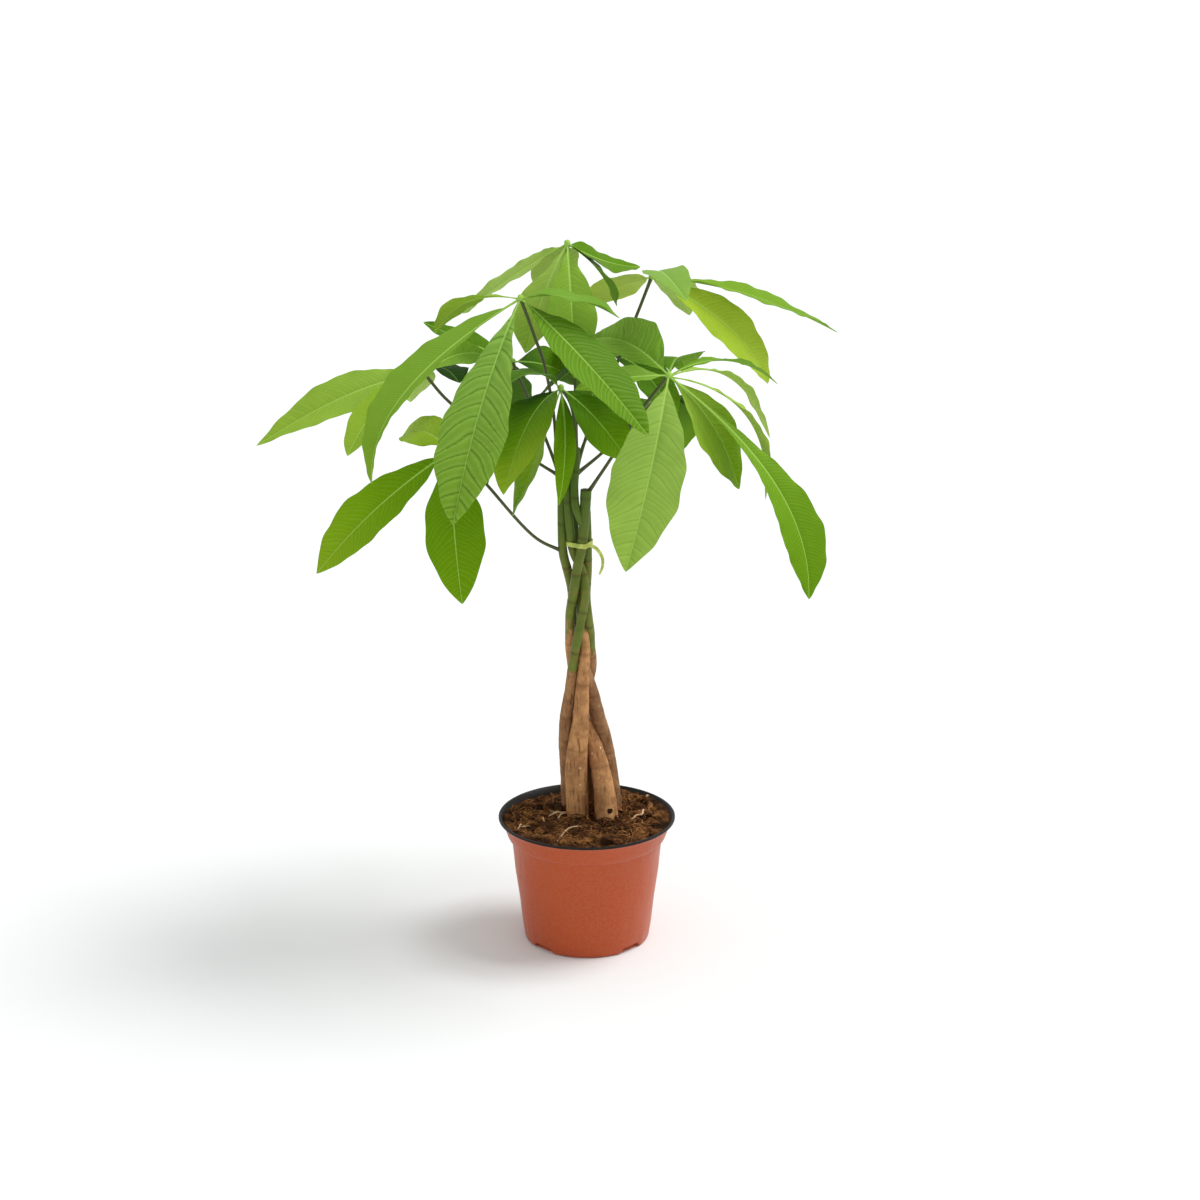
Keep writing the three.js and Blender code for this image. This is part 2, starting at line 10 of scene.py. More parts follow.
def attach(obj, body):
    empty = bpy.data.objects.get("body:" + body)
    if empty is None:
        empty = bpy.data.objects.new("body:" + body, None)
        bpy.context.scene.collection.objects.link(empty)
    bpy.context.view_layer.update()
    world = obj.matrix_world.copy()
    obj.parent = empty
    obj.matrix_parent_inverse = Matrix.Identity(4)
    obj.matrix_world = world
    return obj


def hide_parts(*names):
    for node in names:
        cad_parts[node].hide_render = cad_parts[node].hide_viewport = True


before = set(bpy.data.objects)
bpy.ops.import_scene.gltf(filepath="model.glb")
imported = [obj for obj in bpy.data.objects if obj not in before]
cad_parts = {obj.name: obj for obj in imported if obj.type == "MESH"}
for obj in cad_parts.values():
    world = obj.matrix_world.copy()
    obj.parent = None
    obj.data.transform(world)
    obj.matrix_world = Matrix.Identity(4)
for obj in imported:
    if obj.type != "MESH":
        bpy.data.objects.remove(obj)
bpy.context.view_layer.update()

MILLIMETRE = 0.001
draw = random.Random(7)

# ------------------------------------------------------------------ driving dimensions
POT_HEIGHT = 124
POT_RIM_RADIUS = 85
POT_FLOOR = 2.6
POT_SIDES = 192
NOTCH_COUNT = 4
NOTCH_HEIGHT = 6
NOTCH_HALF_ANGLE = math.radians(13)
NOTCH_RAMP = math.radians(4)
NOTCH_INNER_RADIUS = 55.6
DRAIN_COUNT = 6
DRAIN_RADIUS = 4.5
DRAIN_CIRCLE = 36

SOIL_LEVEL = 119  # at the foot of the braid
SOIL_EDGE = 121.5  # against the wall of the pot, at the front; the solid has 117 there
SOIL_SINK = 5  # how much lower it lies at the back left
SOIL_SIDES = 220
SOIL_RINGS = 64
CLOD_COUNT = 230
FIBRE_COUNT = 250
STEM_FOOT = 60  # how high the buried ends stand above the base
STEM_SIDES = 28
STEM_STEPS = 16  # rings for each stretch between two points of a stem's path
SCAR_SPACING = 34  # between the ring scars up a stem

PETIOLE_RADIUS = 1.5
PETIOLE_SIDES = 10
KNOT_RADIUS = 3.6

BLADE_THICKNESS = 0.45
BLADE_FOLD = 0.16  # rise of each half of a blade for each unit of its width
BLADE_WAVE = 1.6
BLADE_FOOT = 0.05  # the share of a leaflet's length that is its own short stalk
BLADE_COLUMNS = 14

# The photograph's view: metres for the place, degrees for the angles, millimetres for the lens.
CAMERA_PLACE = (0, -2.4, 1.08393)
CAMERA_DIP = 17.2145
CAMERA_TURN = 0.3038
CAMERA_LENS = 80.19
CAMERA_SENSOR = 36

FLOOR_REACH = 60  # metres from the middle to each side
SURROUND_LIGHT = 0.66  # strength of the even light from all round

# Profiles of the pot, from its foot over the lip to its floor: (radius, height).
POT_OUTSIDE = [
    (60.4, 2), (62.5, 15), (65.3, 41.5), (69.4, 71), (72.1, 100.6), (72.6, 101.6), (73.6, 102.5),
    (75.1, 103.8), (75.8, 104.6), (76.8, 107), (79.8, 115.5), (81.9, 120.1), (82.6, 120.9),
    (84.3, 121.2), (84.9, 121.9),
]
POT_LIP = [
    (POT_RIM_RADIUS, 122.1), (POT_RIM_RADIUS, 123.3), (84.7, 123.8), (84, POT_HEIGHT),
    (83.2, POT_HEIGHT), (82.4, 123.6), (81.8, 122.4),
]
POT_INSIDE = [
    (80.6, 121.4), (78.2, 115.9), (75.2, 107.6), (73.4, 105), (70.4, 101), (67.8, 71),
    (63.7, 41.5), (61.3, 19), (52, 8.6), (48, POT_FLOOR),
]

# Each stem: the number of the point where the corky bark of its foot gives way to the green of
# the shoot, and its path of (x, y, z, radius) from its buried foot to its top.
STEMS = [
    (8, [
        (-9, 16, STEM_FOOT, 8), (-9, 15, 116, 11.2), (-9.7, 13, 156, 11.3),
        (-8.7, 8, 186, 10.4), (-5.6, 6, 217, 8.1), (-4.5, 4.7, 245, 6.8), (-2.8, 4, 268, 6),
        (-1.8, 5, 288, 5.2), (-3.4, 8.2, 308, 4.8), (-4.4, 13.5, 322, 4.6),
        (-5, 18.5, 342, 4.5), (-7, 19, 366, 4.5), (-11, 15.5, 400, 4.5), (-12, 14, 443, 4.3),
        (-11, 14, 468, 3.4),
    ]),
    (6, [
        (-15, 34, STEM_FOOT, 7), (-15.5, 34, 116, 9.5), (-16.5, 32, 156, 9.2),
        (-19, 25, 186, 8.2), (-19.5, 17, 217, 6.6), (-16.2, 9.5, 247, 5.2),
        (-13.8, 4.5, 270, 4.7), (-10.8, 0.8, 290, 4.5), (-5.6, -1, 318, 4.4),
        (-1.2, 1.5, 345, 4.4), (-4, 8, 366, 4.4), (-12, 6.5, 386, 4.4), (-15.5, 4, 410, 4.4),
        (-17.5, 3.5, 440, 4.1), (-18.5, 5, 462, 3.2),
    ]),
    (8, [
        (20, 8, STEM_FOOT, 8), (19, 9, 116, 11.6), (15, 10, 154, 10), (8, 18.5, 184, 8.2),
        (-4.9, 22.5, 217, 7), (-9.5, 23, 240, 6), (-12.8, 23, 266, 5.3), (-15.5, 15, 290, 4.9),
        (-15.6, 10.5, 306, 4.7), (-15.2, 6, 326, 4.7), (-12, 1, 348, 4.7),
        (-8.6, -1, 372, 4.7), (-4.4, -1, 392, 4.7), (-2, -0.5, 415, 4.9), (-0.3, 0, 447, 5.4),
    ]),
    (8, [
        (26, 32, STEM_FOOT, 7), (25, 32, 116, 9), (21.6, 29, 156, 9), (17, 31, 188, 8.3),
        (10.8, 23, 217, 7.4), (4.6, 17.5, 245, 6.6), (-0.5, 14.8, 262, 5.9),
        (-5, 17, 278, 5.3), (-8, 20, 294, 4.9), (-13, 21, 316, 4.7), (-13.6, 15.5, 345, 4.6),
        (-17.8, 11, 366, 4.5), (-21.8, 9, 384, 4.4), (-23, 8, 415, 4.1), (-23.5, 8, 450, 3.7),
        (-26, 8, 476, 3),
    ]),
    (7, [
        (4, 46, STEM_FOOT, 7), (4, 46, 116, 9), (4, 42, 154, 8.4), (1, 38, 186, 7.8),
        (-4, 36, 217, 6.9), (-0.4, 32, 244, 6.1), (4, 27, 266, 5.5), (3.2, 19.5, 288, 5.1),
        (3, 13.6, 304, 4.9), (1.6, 6, 320, 4.6), (-0.4, 10.5, 340, 4.5), (1, 15, 366, 4.4),
        (1, 11, 392, 4.3), (0.4, 11.5, 420, 4), (-0.6, 12, 440, 3.4),
    ]),
]
PRUNED_STEM = 2
WEATHERING_AND_SHADE = (0, 0.7, 0.05, 0.85, 0.8)  # how grey each stem's bark has gone, and how much painted shade darkens it
KNOT_HOLE = (22.5, -1.1, 127.5)  # where a twig has broken off the foot of a stem
SIDE_SHOOT = [
    (-4, -0.5, 414, 3.2), (-9.5, -2.5, 430, 4), (-11, 1, 450, 3.8), (-9.5, 3, 468, 3.6),
    (-8.5, 4, 486, 3),
]

TIE_STEMS = (0, 1, 2, 4)
TIE_LOW = 392
TIE_HIGH = 396.5
TIE_THICKNESS = 1
TIE_SIDES = 120
TIE_TAIL = [
    (-5, -6, 394), (3, -7.4, 395.5), (9, -8, 393), (14.5, -9, 385), (15, -9, 376), (12, -9, 368),
]


def blade(tip, bow, width, roll, tone, warmth, peak=0.55, lean=0.0, quilt=0.35, split=0.0):
    """A leaflet: its tip from the knot, its bow from the straight line, its width and roll, how
    light and how yellow its green is at its foot and at its tip, where along it is widest, how
    much wider its left half is, how puckered it is, and how much lighter its left half is.
    The lightness is partly painted shade and painted light, the cool, less yellow end partly
    paints a pale sheen, and the lighter half is painted light on one side of the fold."""
    return {
        "tip": tip, "bow": bow, "width": width, "roll": roll, "tone": tone, "warmth": warmth,
        "peak": peak, "lean": lean, "quilt": quilt, "split": split,
    }


# Each leaf: its stem, its knot, the route of its petiole and its leaflets.
LEAVES = {
    "leaf_top": (2, (-17, 15, 675), [(-9, 4, 478), (-10, 14, 540), (-15, 20, 610)], [
        blade((-99, 63, -77), (-3, 0, 5), 38, -30, (0.92, 0.92), (0.45, 0.3)),
        blade((-38, -36, -94), (-5, -8, 8), 46, -10, (0.95, 0.78), (0.3, 0.6), peak=0.64),
        blade((7, -55, -113), (1, -25, 12), 44, 5, (0.68, 0.6), (0.5, 0.5)),
        blade((46, 40, -66), (10, 0, 12), 32, 24, (0.5, 0.5), (0.5, 0.5)),
        blade((68, 70, -34), (0, 0, -10), 33, 32, (0.34, 0.4), (0.95, 0.9), peak=0.34, lean=-0.2),
        blade((-20, 105, -80), (0, 15, 20), 44, 0, (1.0, 1.15), (0.4, 0.3)),
    ]),
    "leaf_front_left": (
        3, (-58, -60, 639), [(-27, 8, 470), (-30, 0, 520), (-38, -18, 570), (-46, -41, 600)], [
            blade((-79, 50, -42), (-16, 0, 27), 36, 14, (0.7, 0.75),
                  (1, 0.9), peak=0.64, lean=-0.25),
            blade((-131, -60, -154), (-73, 0, -2), 32, -20, (0.6, 0.62),
                  (0.4, 0.7), peak=0.42, lean=-0.5),
            blade((-58, -100, -181), (-10, -25, 12), 68, 0, (0.64, 0.6),
                  (0, 0.6), peak=0.6, lean=0.06, quilt=1.0),
            blade((112, -80, -106), (0, -10, 14), 58, 8, (0.38, 0.38),
                  (0.6, 0.7), quilt=0.7, split=-0.08),
            blade((88, -12, -16), (0, 0, 20), 34, 0, (0.58, 0.5), (0.35, 0.3), peak=0.45),
        ]),
    "leaf_right_high": (
        2, (61, 55, 637), [(-8, 4, 474), (1, 15, 496), (24, 38, 547), (46, 54, 598)], [
            blade((-68, 50, -38), (0, 0, 8), 34, 40, (1.25, 1.1), (0.6, 1), peak=0.46, lean=-0.15),
            blade((28, -112, -1), (-10, 10, 27), 40, 0, (0.72, 0.66), (0.1, 0.2)),
            blade((111, 20, -106), (36, 0, 6), 47, 48, (0.92, 1), (0.95, 0.85), peak=0.52),
            blade((179, 50, -63), (0, 0, 22), 36, 10, (0.6, 0.58), (0.7, 0.7), peak=0.6),
            blade((40, 120, -60), (0, 10, 26), 44, 0, (1.1, 1.1), (0.2, 0.2)),
        ]),
    "leaf_right_low": (2, (74, -55, 568), [(2, 1, 445), (25, -5, 482), (50, -30, 530)], [
        blade((-40, -120, -148), (5, -25, 10), 68, 0, (0.82, 0.84), (0.25, 0.45), quilt=0.45),
        blade((127, -40, -198), (67, 0, 4), 42, 42, (0.66, 0.42),
              (0.4, 1), peak=0.7, lean=0.08, quilt=0.45),
        blade((66, 20, -111), (16, 0, 12), 52, 55, (0.9, 0.6), (0.5, 1), lean=-0.15),
        blade((106, 110, -33), (3, 0, 37), 18, 0, (0.5, 0.6), (0.4, 0.4)),
        blade((96, 60, -73), (15, -5, 58), 24, 0, (0.9, 1.1), (0.4, 0.3)),
        blade((90, 15, -120), (50, 0, 45), 34, 0, (0.95, 1), (0.5, 0.5), peak=0.6),
        blade((20, 95, -18), (0, 0, 31), 46, -10, (0.3, 0.55), (0.8, 0.5)),
        blade((-72, 95, 12), (-2, 0, 28), 62, -20, (0.5, 0.72),
              (0.45, 0.3), peak=0.54, lean=-0.1, quilt=0.6),
        blade((-84, -20, -9), (0, 0, 8), 30, -25, (0.64, 0.6), (0.3, 0.6)),
    ]),
    "leaf_left": (3, (-150, 30, 551), [(-27, 8, 460), (-42, 10, 469), (-126, 26, 524)], [
        blade((-157, -10, -66), (19, 0, 30), 46, -35, (0.76, 0.78), (0.45, 0.7), peak=0.52),
        blade((-67, -70, -61), (-14, 0, 14), 38, -10, (0.76, 0.76), (0.9, 0.7)),
        blade((-20, 100, -50), (-6, 0, 16), 42, 0, (0.95, 1.05), (0.3, 0.2)),
        blade((28, 95, -30), (0, 10, 20), 42, 0, (0, 0), (1, 1)),
        blade((55, 30, 12), (0, 0, 16), 46, 20, (0.7, 0.42), (0.3, 0.8)),
    ]),
    "leaf_left_low": (3, (-123, -35, 494), [(-23, 8, 386), (-47, 0, 401), (-99, -26, 468)], [
        blade((-123, -30, -108), (-10, 0, 10), 53, -35, (0.38, 0.72), (1, 1), peak=0.54),
        blade((11, -60, -128), (-4, -20, 8), 55, 0, (0.4, 0.54), (1, 1), peak=0.52),
        blade((-49, 88, -6), (-2, 0, 19), 40, -35, (0.65, 1.1), (1, 0.7)),
        blade((20, 95, -58), (0, 10, 22), 44, 0, (0.3, 0.4), (0.7, 0.7)),
    ]),
    "leaf_middle": (2, (-23, -25, 550), [(-9, 3, 470), (-9, 1, 495), (-14, -8, 530)], [
        blade((-51, -70, -82), (-6, -20, 40), 66, 10, (0, 0.9), (1, 1), split=0.3),
        blade((-45, -10, -119), (7, 0, 14), 72, 0, (1, 0.5), (1, 1), peak=0.6),
        blade((-2, -40, -100), (10, -15, 5), 20, 0, (0.36, 0.62), (1, 1), peak=0.48),
        blade((64, -20, -68), (0, 0, 15), 58, 20, (0.14, 0.6), (1, 1), lean=-0.12),
        blade((-50, -38, 10), (6, 0, 26), 34, 0, (0.3, 0.45), (0.4, 0.2)),
    ]),
    "leaf_back_right": (2, (21, 62, 564), [(-8, 5, 470), (2, 20, 500), (16, 48, 538)], [
        blade((62, -20, -62), (8, 0, 26), 56, 14, (0, 0.5), (1, 0.8)),
        blade((-72, -20, -46), (0, 0, 16), 50, 20, (0, 0.1), (1, 0.8)),
        blade((-20, 75, -80), (0, 10, 15), 42, 0, (0.1, 0.3), (1, 0.8)),
        blade((-42, 105, -30), (0, 10, 26), 44, 0, (0.2, 0.4), (0.6, 0.6)),
        blade((40, 120, -60), (0, 10, 30), 46, 0, (0.2, 0.4), (0.6, 0.6)),
    ]),
    "leaf_back_left": (3, (-70, 98, 548), [(-27, 8, 466), (-40, 38, 492), (-61, 82, 530)], [
        blade((-86, 30, 32), (0, 0, 0), 30, -15, (0.4, 0.25), (0.6, 0.9)),
        blade((-48, -38, -34), (0, 0, 10), 30, 0, (0.2, 0.4), (1, 1)),
        blade((-10, 115, -110), (0, 15, 20), 46, 0, (0.05, 0.2), (1, 1)),
        blade((66, 28, -28), (0, 0, 14), 44, 35, (0, 0.65), (1, 0.9)),
        blade((-25, -20, -118), (-16, 0, 10), 46, 0, (0.2, 0.45), (1, 1)),
    ]),
    "leaf_back_low": (2, (71, 98, 513), [(-8, 5, 462), (18, 30, 478), (55, 78, 504)], [
        blade((35, 115, -70), (5, 10, 30), 46, 0, (0.3, 0.5), (0.8, 0.8)),
        blade((-45, 105, -85), (0, 10, 25), 48, 0, (0.2, 0.45), (0.9, 0.9)),
        blade((22, 70, -72), (10, 5, 20), 40, 0, (0, 0.5), (1, 0.6)),
        blade((40, 50, -30), (5, 0, 15), 36, 0, (0, 0.5), (1, 0.6)),
    ]),
}

# Roots on the soil: points on it seen from above, (x, y).
PALE_ROOTS = [
    [(-37, 21), (-33, 13), (-29, 7)],
    [(-37, 4), (-34, 5), (-29, 6), (-24, 13), (-20, 15)],
    [(-28, 0), (-24, 9), (-18, 14)],
    [(-42, -5), (-42, -11), (-40, -16)],
    [(-66, -35), (-63, -28), (-65, -19)],
    [(-63, -28), (-59, -27), (-55, -25)],
    [(-28, -57), (-19, -41), (-10, -22), (2, -14)],
    [(40, -7), (44, -5), (48, 4), (53, 4), (55, 14), (60, 16)],
    [(57, 40), (59, 46), (61, 51)],
]
BROWN_ROOTS = [
    [(33, -18), (43, -30), (51, -42)],
    [(20, -46), (34, -51), (46, -53)],
    [(-41, -24), (-34, -25), (-27, -28)],
    [(24, 12), (34, -10), (38, 2)],
]


# ------------------------------------------------------------------ shapes
def unit(vectors):
    return vectors / np.linalg.norm(vectors, axis=1, keepdims=True)


def turn_in_steps(count):
    """Angles of `count` equal steps round a circle."""
    return np.arange(count) * 2 * math.pi / count


def catmull_rom(path, steps):
    """Points and tangents along a centripetal curve through `path`, with `steps` to a stretch."""
    points = np.array(path, float)
    before = 2 * points[:1] - points[1:2]
    after = 2 * points[-1:] - points[-2:-1]
    knots = np.concatenate([before, points, after])
    share = np.linspace(0, 1, steps, endpoint=False)[:, None]
    centres, tangents = [], []
    stretches = list(zip(knots, knots[1:], knots[2:], knots[3:]))
    for number, (a, b, c, d) in enumerate(stretches, 1):
        gap_ab, gap_bc, gap_cd = (np.linalg.norm(q - p) ** 0.5 for p, q in ((a, b), (b, c), (c, d)))
        leave = gap_bc * ((b - a) / gap_ab - (c - a) / (gap_ab + gap_bc) + (c - b) / gap_bc)
        arrive = gap_bc * ((c - b) / gap_bc - (d - b) / (gap_bc + gap_cd) + (d - c) / gap_cd)
        square = -3 * b + 3 * c - 2 * leave - arrive
        cube = 2 * b - 2 * c + leave + arrive
        t = share if number < len(stretches) else np.concatenate([share, [[1.0]]])
        centres.append(b + leave * t + square * t**2 + cube * t**3)
        tangents.append(leave + 2 * square * t + 3 * cube * t**2)
    return np.concatenate(centres), unit(np.concatenate(tangents))


def skin(rings, facts=None):
    """A closed skin over rings of points, each ring with as many points as the next."""
    rings = np.asarray(rings, float)
    count, around = rings.shape[:2]
    low = np.arange((count - 1) * around).reshape(count - 1, around)
    right = np.roll(low, -1, axis=1)
    faces = np.stack([low, right, right + around, low + around], axis=-1).reshape(-1, 4).tolist()
    faces.append(list(range(around))[::-1])
    faces.append(list(range((count - 1) * around, count * around)))
    flat = {
        name: np.broadcast_to(values, (count, around)).ravel()
        for name, values in (facts or {}).items()
    }
    return {"points": rings.reshape(-1, 3), "faces": faces, "facts": flat}


def tube(centres, tangents, radii, sides, away=(0, 1, 0)):
    """Rings of a round tube, and the angle of each of their points."""
    across = unit(np.cross(np.array(away, float), tangents))
    out = np.cross(tangents, across)
    angles = turn_in_steps(sides)
    spoke = across[:, None] * np.cos(angles)[:, None] + out[:, None] * np.sin(angles)[:, None]
    radii = np.asarray(radii, float).reshape(-1, 1, 1)
    return centres[:, None] + spoke * radii, angles


def lumps(points, size, seed=0.0):
    """Smooth noise between about -1 and 1 at each point, with features of `size`."""
    shape = points.shape[:-1]
    values = [noise.noise(Vector(p) / size + Vector((seed, seed, seed)))
              for p in points.reshape(-1, 3)]
    return np.array(values).reshape(shape)


def ball(subdivisions, radius):
    """The points and faces of an even ball."""
    made = bmesh.new()
    bmesh.ops.create_icosphere(made, subdivisions=subdivisions, radius=radius)
    points = np.array([v.co for v in made.verts])
    faces = [[v.index for v in f.verts] for f in made.faces]
    made.free()
    return points, faces


def add_object(name, data):
    made = bpy.data.objects.new(name, data)
    bpy.context.scene.collection.objects.link(made)
    return made


def make_piece(name, parts, materials, replaces=None, sharp=50):
    """One mesh piece from parts in millimetres, fixed to the object's only body."""
    points = np.concatenate([part["points"] for part in parts]) * MILLIMETRE
    faces, wears, start = [], [], 0
    for part in parts:
        faces += [[start + i for i in face] for face in part["faces"]]
        wears += list(part.get("wears", [0] * len(part["faces"])))
        start += len(part["points"])
    mesh = bpy.data.meshes.new(name)
    mesh.from_pydata(points.tolist(), [], faces)
    for label in sorted({key for part in parts for key in part.get("facts", {})}):
        values = np.concatenate([
            part.get("facts", {}).get(label, np.zeros(len(part["points"]))) for part in parts
        ])
        attribute = mesh.attributes.new(label, "FLOAT", "POINT")
        attribute.data.foreach_set("value", values.astype(np.float32))
    for material in materials:
        mesh.materials.append(material)
    mesh.polygons.foreach_set("material_index", wears)
    mesh.shade_smooth()
    mesh.set_sharp_from_angle(angle=math.radians(sharp))
    mesh.update()
    piece = add_object(name, mesh)
    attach(piece, "root")
    if replaces:
        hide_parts(*replaces)
    return piece


# ------------------------------------------------------------------ materials
def add(tree, kind, inputs=None, **settings):
    """A node with its settings and inputs. An input is a value or another node's socket."""
    made = tree.nodes.new(kind)
    for key, value in settings.items():
        setattr(made, key, value)
    for key, value in (inputs or {}).items():
        if isinstance(value, bpy.types.NodeSocket):
            tree.links.new(value, made.inputs[key])
        else:
            made.inputs[key].default_value = value
    return made


def maths(tree, operation, *values):
    return add(tree, "ShaderNodeMath", dict(enumerate(values)), operation=operation).outputs[0]


def times(tree, first, second):
    return maths(tree, "MULTIPLY", first, second)


def plus(tree, first, second):
    return maths(tree, "ADD", first, second)


def minus(tree, first, second):
    return maths(tree, "SUBTRACT", first, second)


def spread(tree, value, low, high, to_low=0.0, to_high=1.0):
    """Maps low..high smoothly to to_low..to_high."""
    inputs = {"Value": value, "From Min": low, "From Max": high,
              "To Min": to_low, "To Max": to_high}
    return add(tree, "ShaderNodeMapRange", inputs, interpolation_type="SMOOTHSTEP").outputs[0]


def blend_colours(tree, share, first, second):
    inputs = {0: share, 6: first, 7: second}
    return add(tree, "ShaderNodeMix", inputs, data_type="RGBA").outputs[2]


def ramp(tree, value, stops):
    """A colour along a scale from 0 to 1, from stops of (place, colour)."""
    made = add(tree, "ShaderNodeValToRGB", {"Fac": value})
    elements = made.color_ramp.elements
    while len(elements) < len(stops):
        elements.new(0.5)
    for element, (place, colour) in zip(elements, stops):
        element.position, element.color = place, colour
    return made.outputs["Color"]


def fact(tree, name):
    return add(tree, "ShaderNodeAttribute", attribute_name=name).outputs["Fac"]


def srgb(red, green, blue):
    """A colour as seen on a screen, from 0 to 255, in the linear values that a shader takes."""
    channels = [c / 255 for c in (red, green, blue)]
    linear = [c / 12.92 if c <= 0.04045 else ((c + 0.055) / 1.055) ** 2.4 for c in channels]
    return (*linear, 1)


def new_group(name, inputs, outputs):
    """A node group with sockets given as {name: (kind, value)} and {name: kind}."""
    tree = bpy.data.node_groups.new(name, "ShaderNodeTree")
    for label, (kind, value) in inputs.items():
        socket = tree.interface.new_socket(label, in_out="INPUT", socket_type=kind)
        if value is not None:
            socket.default_value = value
    for label, kind in outputs.items():
        tree.interface.new_socket(label, in_out="OUTPUT", socket_type=kind)
    return tree, tree.nodes.new("NodeGroupInput").outputs, tree.nodes.new("NodeGroupOutput").inputs


def use_group(tree, group, inputs):
    """Places a group in a material with its own values, and gives its outputs."""
    return add(tree, "ShaderNodeGroup", inputs, node_tree=group).outputs


NUMBER, COLOUR, ARROW = "NodeSocketFloat", "NodeSocketColor", "NodeSocketVector"


def mottle_group():
    """Uneven growth or dirt: a second colour in soft patches, and the same patches as a mask."""
    tree, given, out = new_group(
        "mottle",
        {"Place": (ARROW, None), "Size": (NUMBER, 100), "Colour": (COLOUR, None),
         "Patches": (COLOUR, None), "Amount": (NUMBER, 0.5), "Edge": (NUMBER, 0.2)},
        {"Colour": COLOUR, "Mask": NUMBER})
    clouds = add(tree, "ShaderNodeTexNoise",
                 {"Vector": given["Place"], "Scale": given["Size"], "Detail": 5, "Roughness": 0.6})
    low = minus(tree, 0.5, given["Edge"])
    high = plus(tree, 0.5, given["Edge"])
    mask = times(tree, spread(tree, clouds.outputs["Fac"], low, high), given["Amount"])
    tree.links.new(mask, out["Mask"])
    tree.links.new(blend_colours(tree, mask, given["Colour"], given["Patches"]), out["Colour"])
    return tree


def grain_group():
    """Fine relief stretched along one direction, such as fibres, fissures or moulding lines."""
    tree, given, out = new_group(
        "grain",
        {"Place": (ARROW, None), "Stretch": (ARROW, None), "Size": (NUMBER, 1),
         "Roughness": (NUMBER, 0.6)},
        {"Height": NUMBER})
    stretched = add(tree, "ShaderNodeVectorMath", {0: given["Place"], 1: given["Stretch"]},
                    operation="MULTIPLY").outputs[0]
    grain = add(tree, "ShaderNodeTexNoise", {"Vector": stretched, "Scale": given["Size"],
                                             "Detail": 6, "Roughness": given["Roughness"]})
    tree.links.new(grain.outputs["Fac"], out["Height"])
    return tree


def vein_group():
    """Veins of a leaflet from its distance to the midrib, in millimetres, and its vein count."""
    tree, given, out = new_group(
        "veins",
        {"Place": (ARROW, None), "From Midrib": (NUMBER, 0), "Vein Count": (NUMBER, 0),
         "Along": (NUMBER, 0), "Midrib Width": (NUMBER, 0.75)},
        {"Midrib": NUMBER, "Side Veins": NUMBER, "Between Veins": NUMBER, "Fine Veins": NUMBER})
    narrowing = spread(tree, given["Along"], 0.0, 1.0, 1.0, 0.3)
    width = times(tree, given["Midrib Width"], narrowing)
    wide = times(tree, width, 1.9)
    inner = times(tree, width, 0.5)
    rib = spread(tree, given["From Midrib"], inner, wide, 1.0, 0.0)
    tree.links.new(rib, out["Midrib"])
    drift = add(tree, "ShaderNodeTexNoise", {"Vector": given["Place"], "Scale": 45, "Detail": 3})
    count = plus(tree, given["Vein Count"], times(tree, drift.outputs["Fac"], 0.22))
    count = minus(tree, count, 0.11)
    to_vein = maths(tree, "PINGPONG", count, 0.5)
    tree.links.new(spread(tree, to_vein, 0.012, 0.07, 1.0, 0.0), out["Side Veins"])
    tree.links.new(times(tree, to_vein, 2.0), out["Between Veins"])
    net = add(tree, "ShaderNodeTexVoronoi", {"Vector": given["Place"], "Scale": 420},
              feature="DISTANCE_TO_EDGE")
    tree.links.new(spread(tree, net.outputs["Distance"], 0.0, 0.1, 1.0, 0.0), out["Fine Veins"])
    return tree


MOTTLE = mottle_group()
GRAIN = grain_group()
VEINS = vein_group()


def mottle(tree, place, size, colour, patches, amount, edge=0.2):
    return use_group(tree, MOTTLE, {"Place": place, "Size": size, "Colour": colour,
                                    "Patches": patches, "Amount": amount, "Edge": edge})


def fine_grain(tree, place, stretch, size):
    return use_group(tree, GRAIN, {"Place": place, "Stretch": stretch, "Size": size})


def new_material(name, **values):
    """A material with its Principled BSDF, whose even values are set on its own sockets."""
    made = bpy.data.materials.new(name)
    made.use_nodes = True
    shader = made.node_tree.nodes["Principled BSDF"]
    for key, value in values.items():
        shader.inputs[key.replace("_", " ")].default_value = value
    place = add(made.node_tree, "ShaderNodeTexCoord").outputs["Object"]
    return made, made.node_tree, shader, place


def bump(tree, shader, height, distance, strength=1.0):
    inputs = {"Height": height, "Distance": distance, "Strength": strength}
    relief = add(tree, "ShaderNodeBump", inputs)
    tree.links.new(relief.outputs["Normal"], shader.inputs["Normal"])


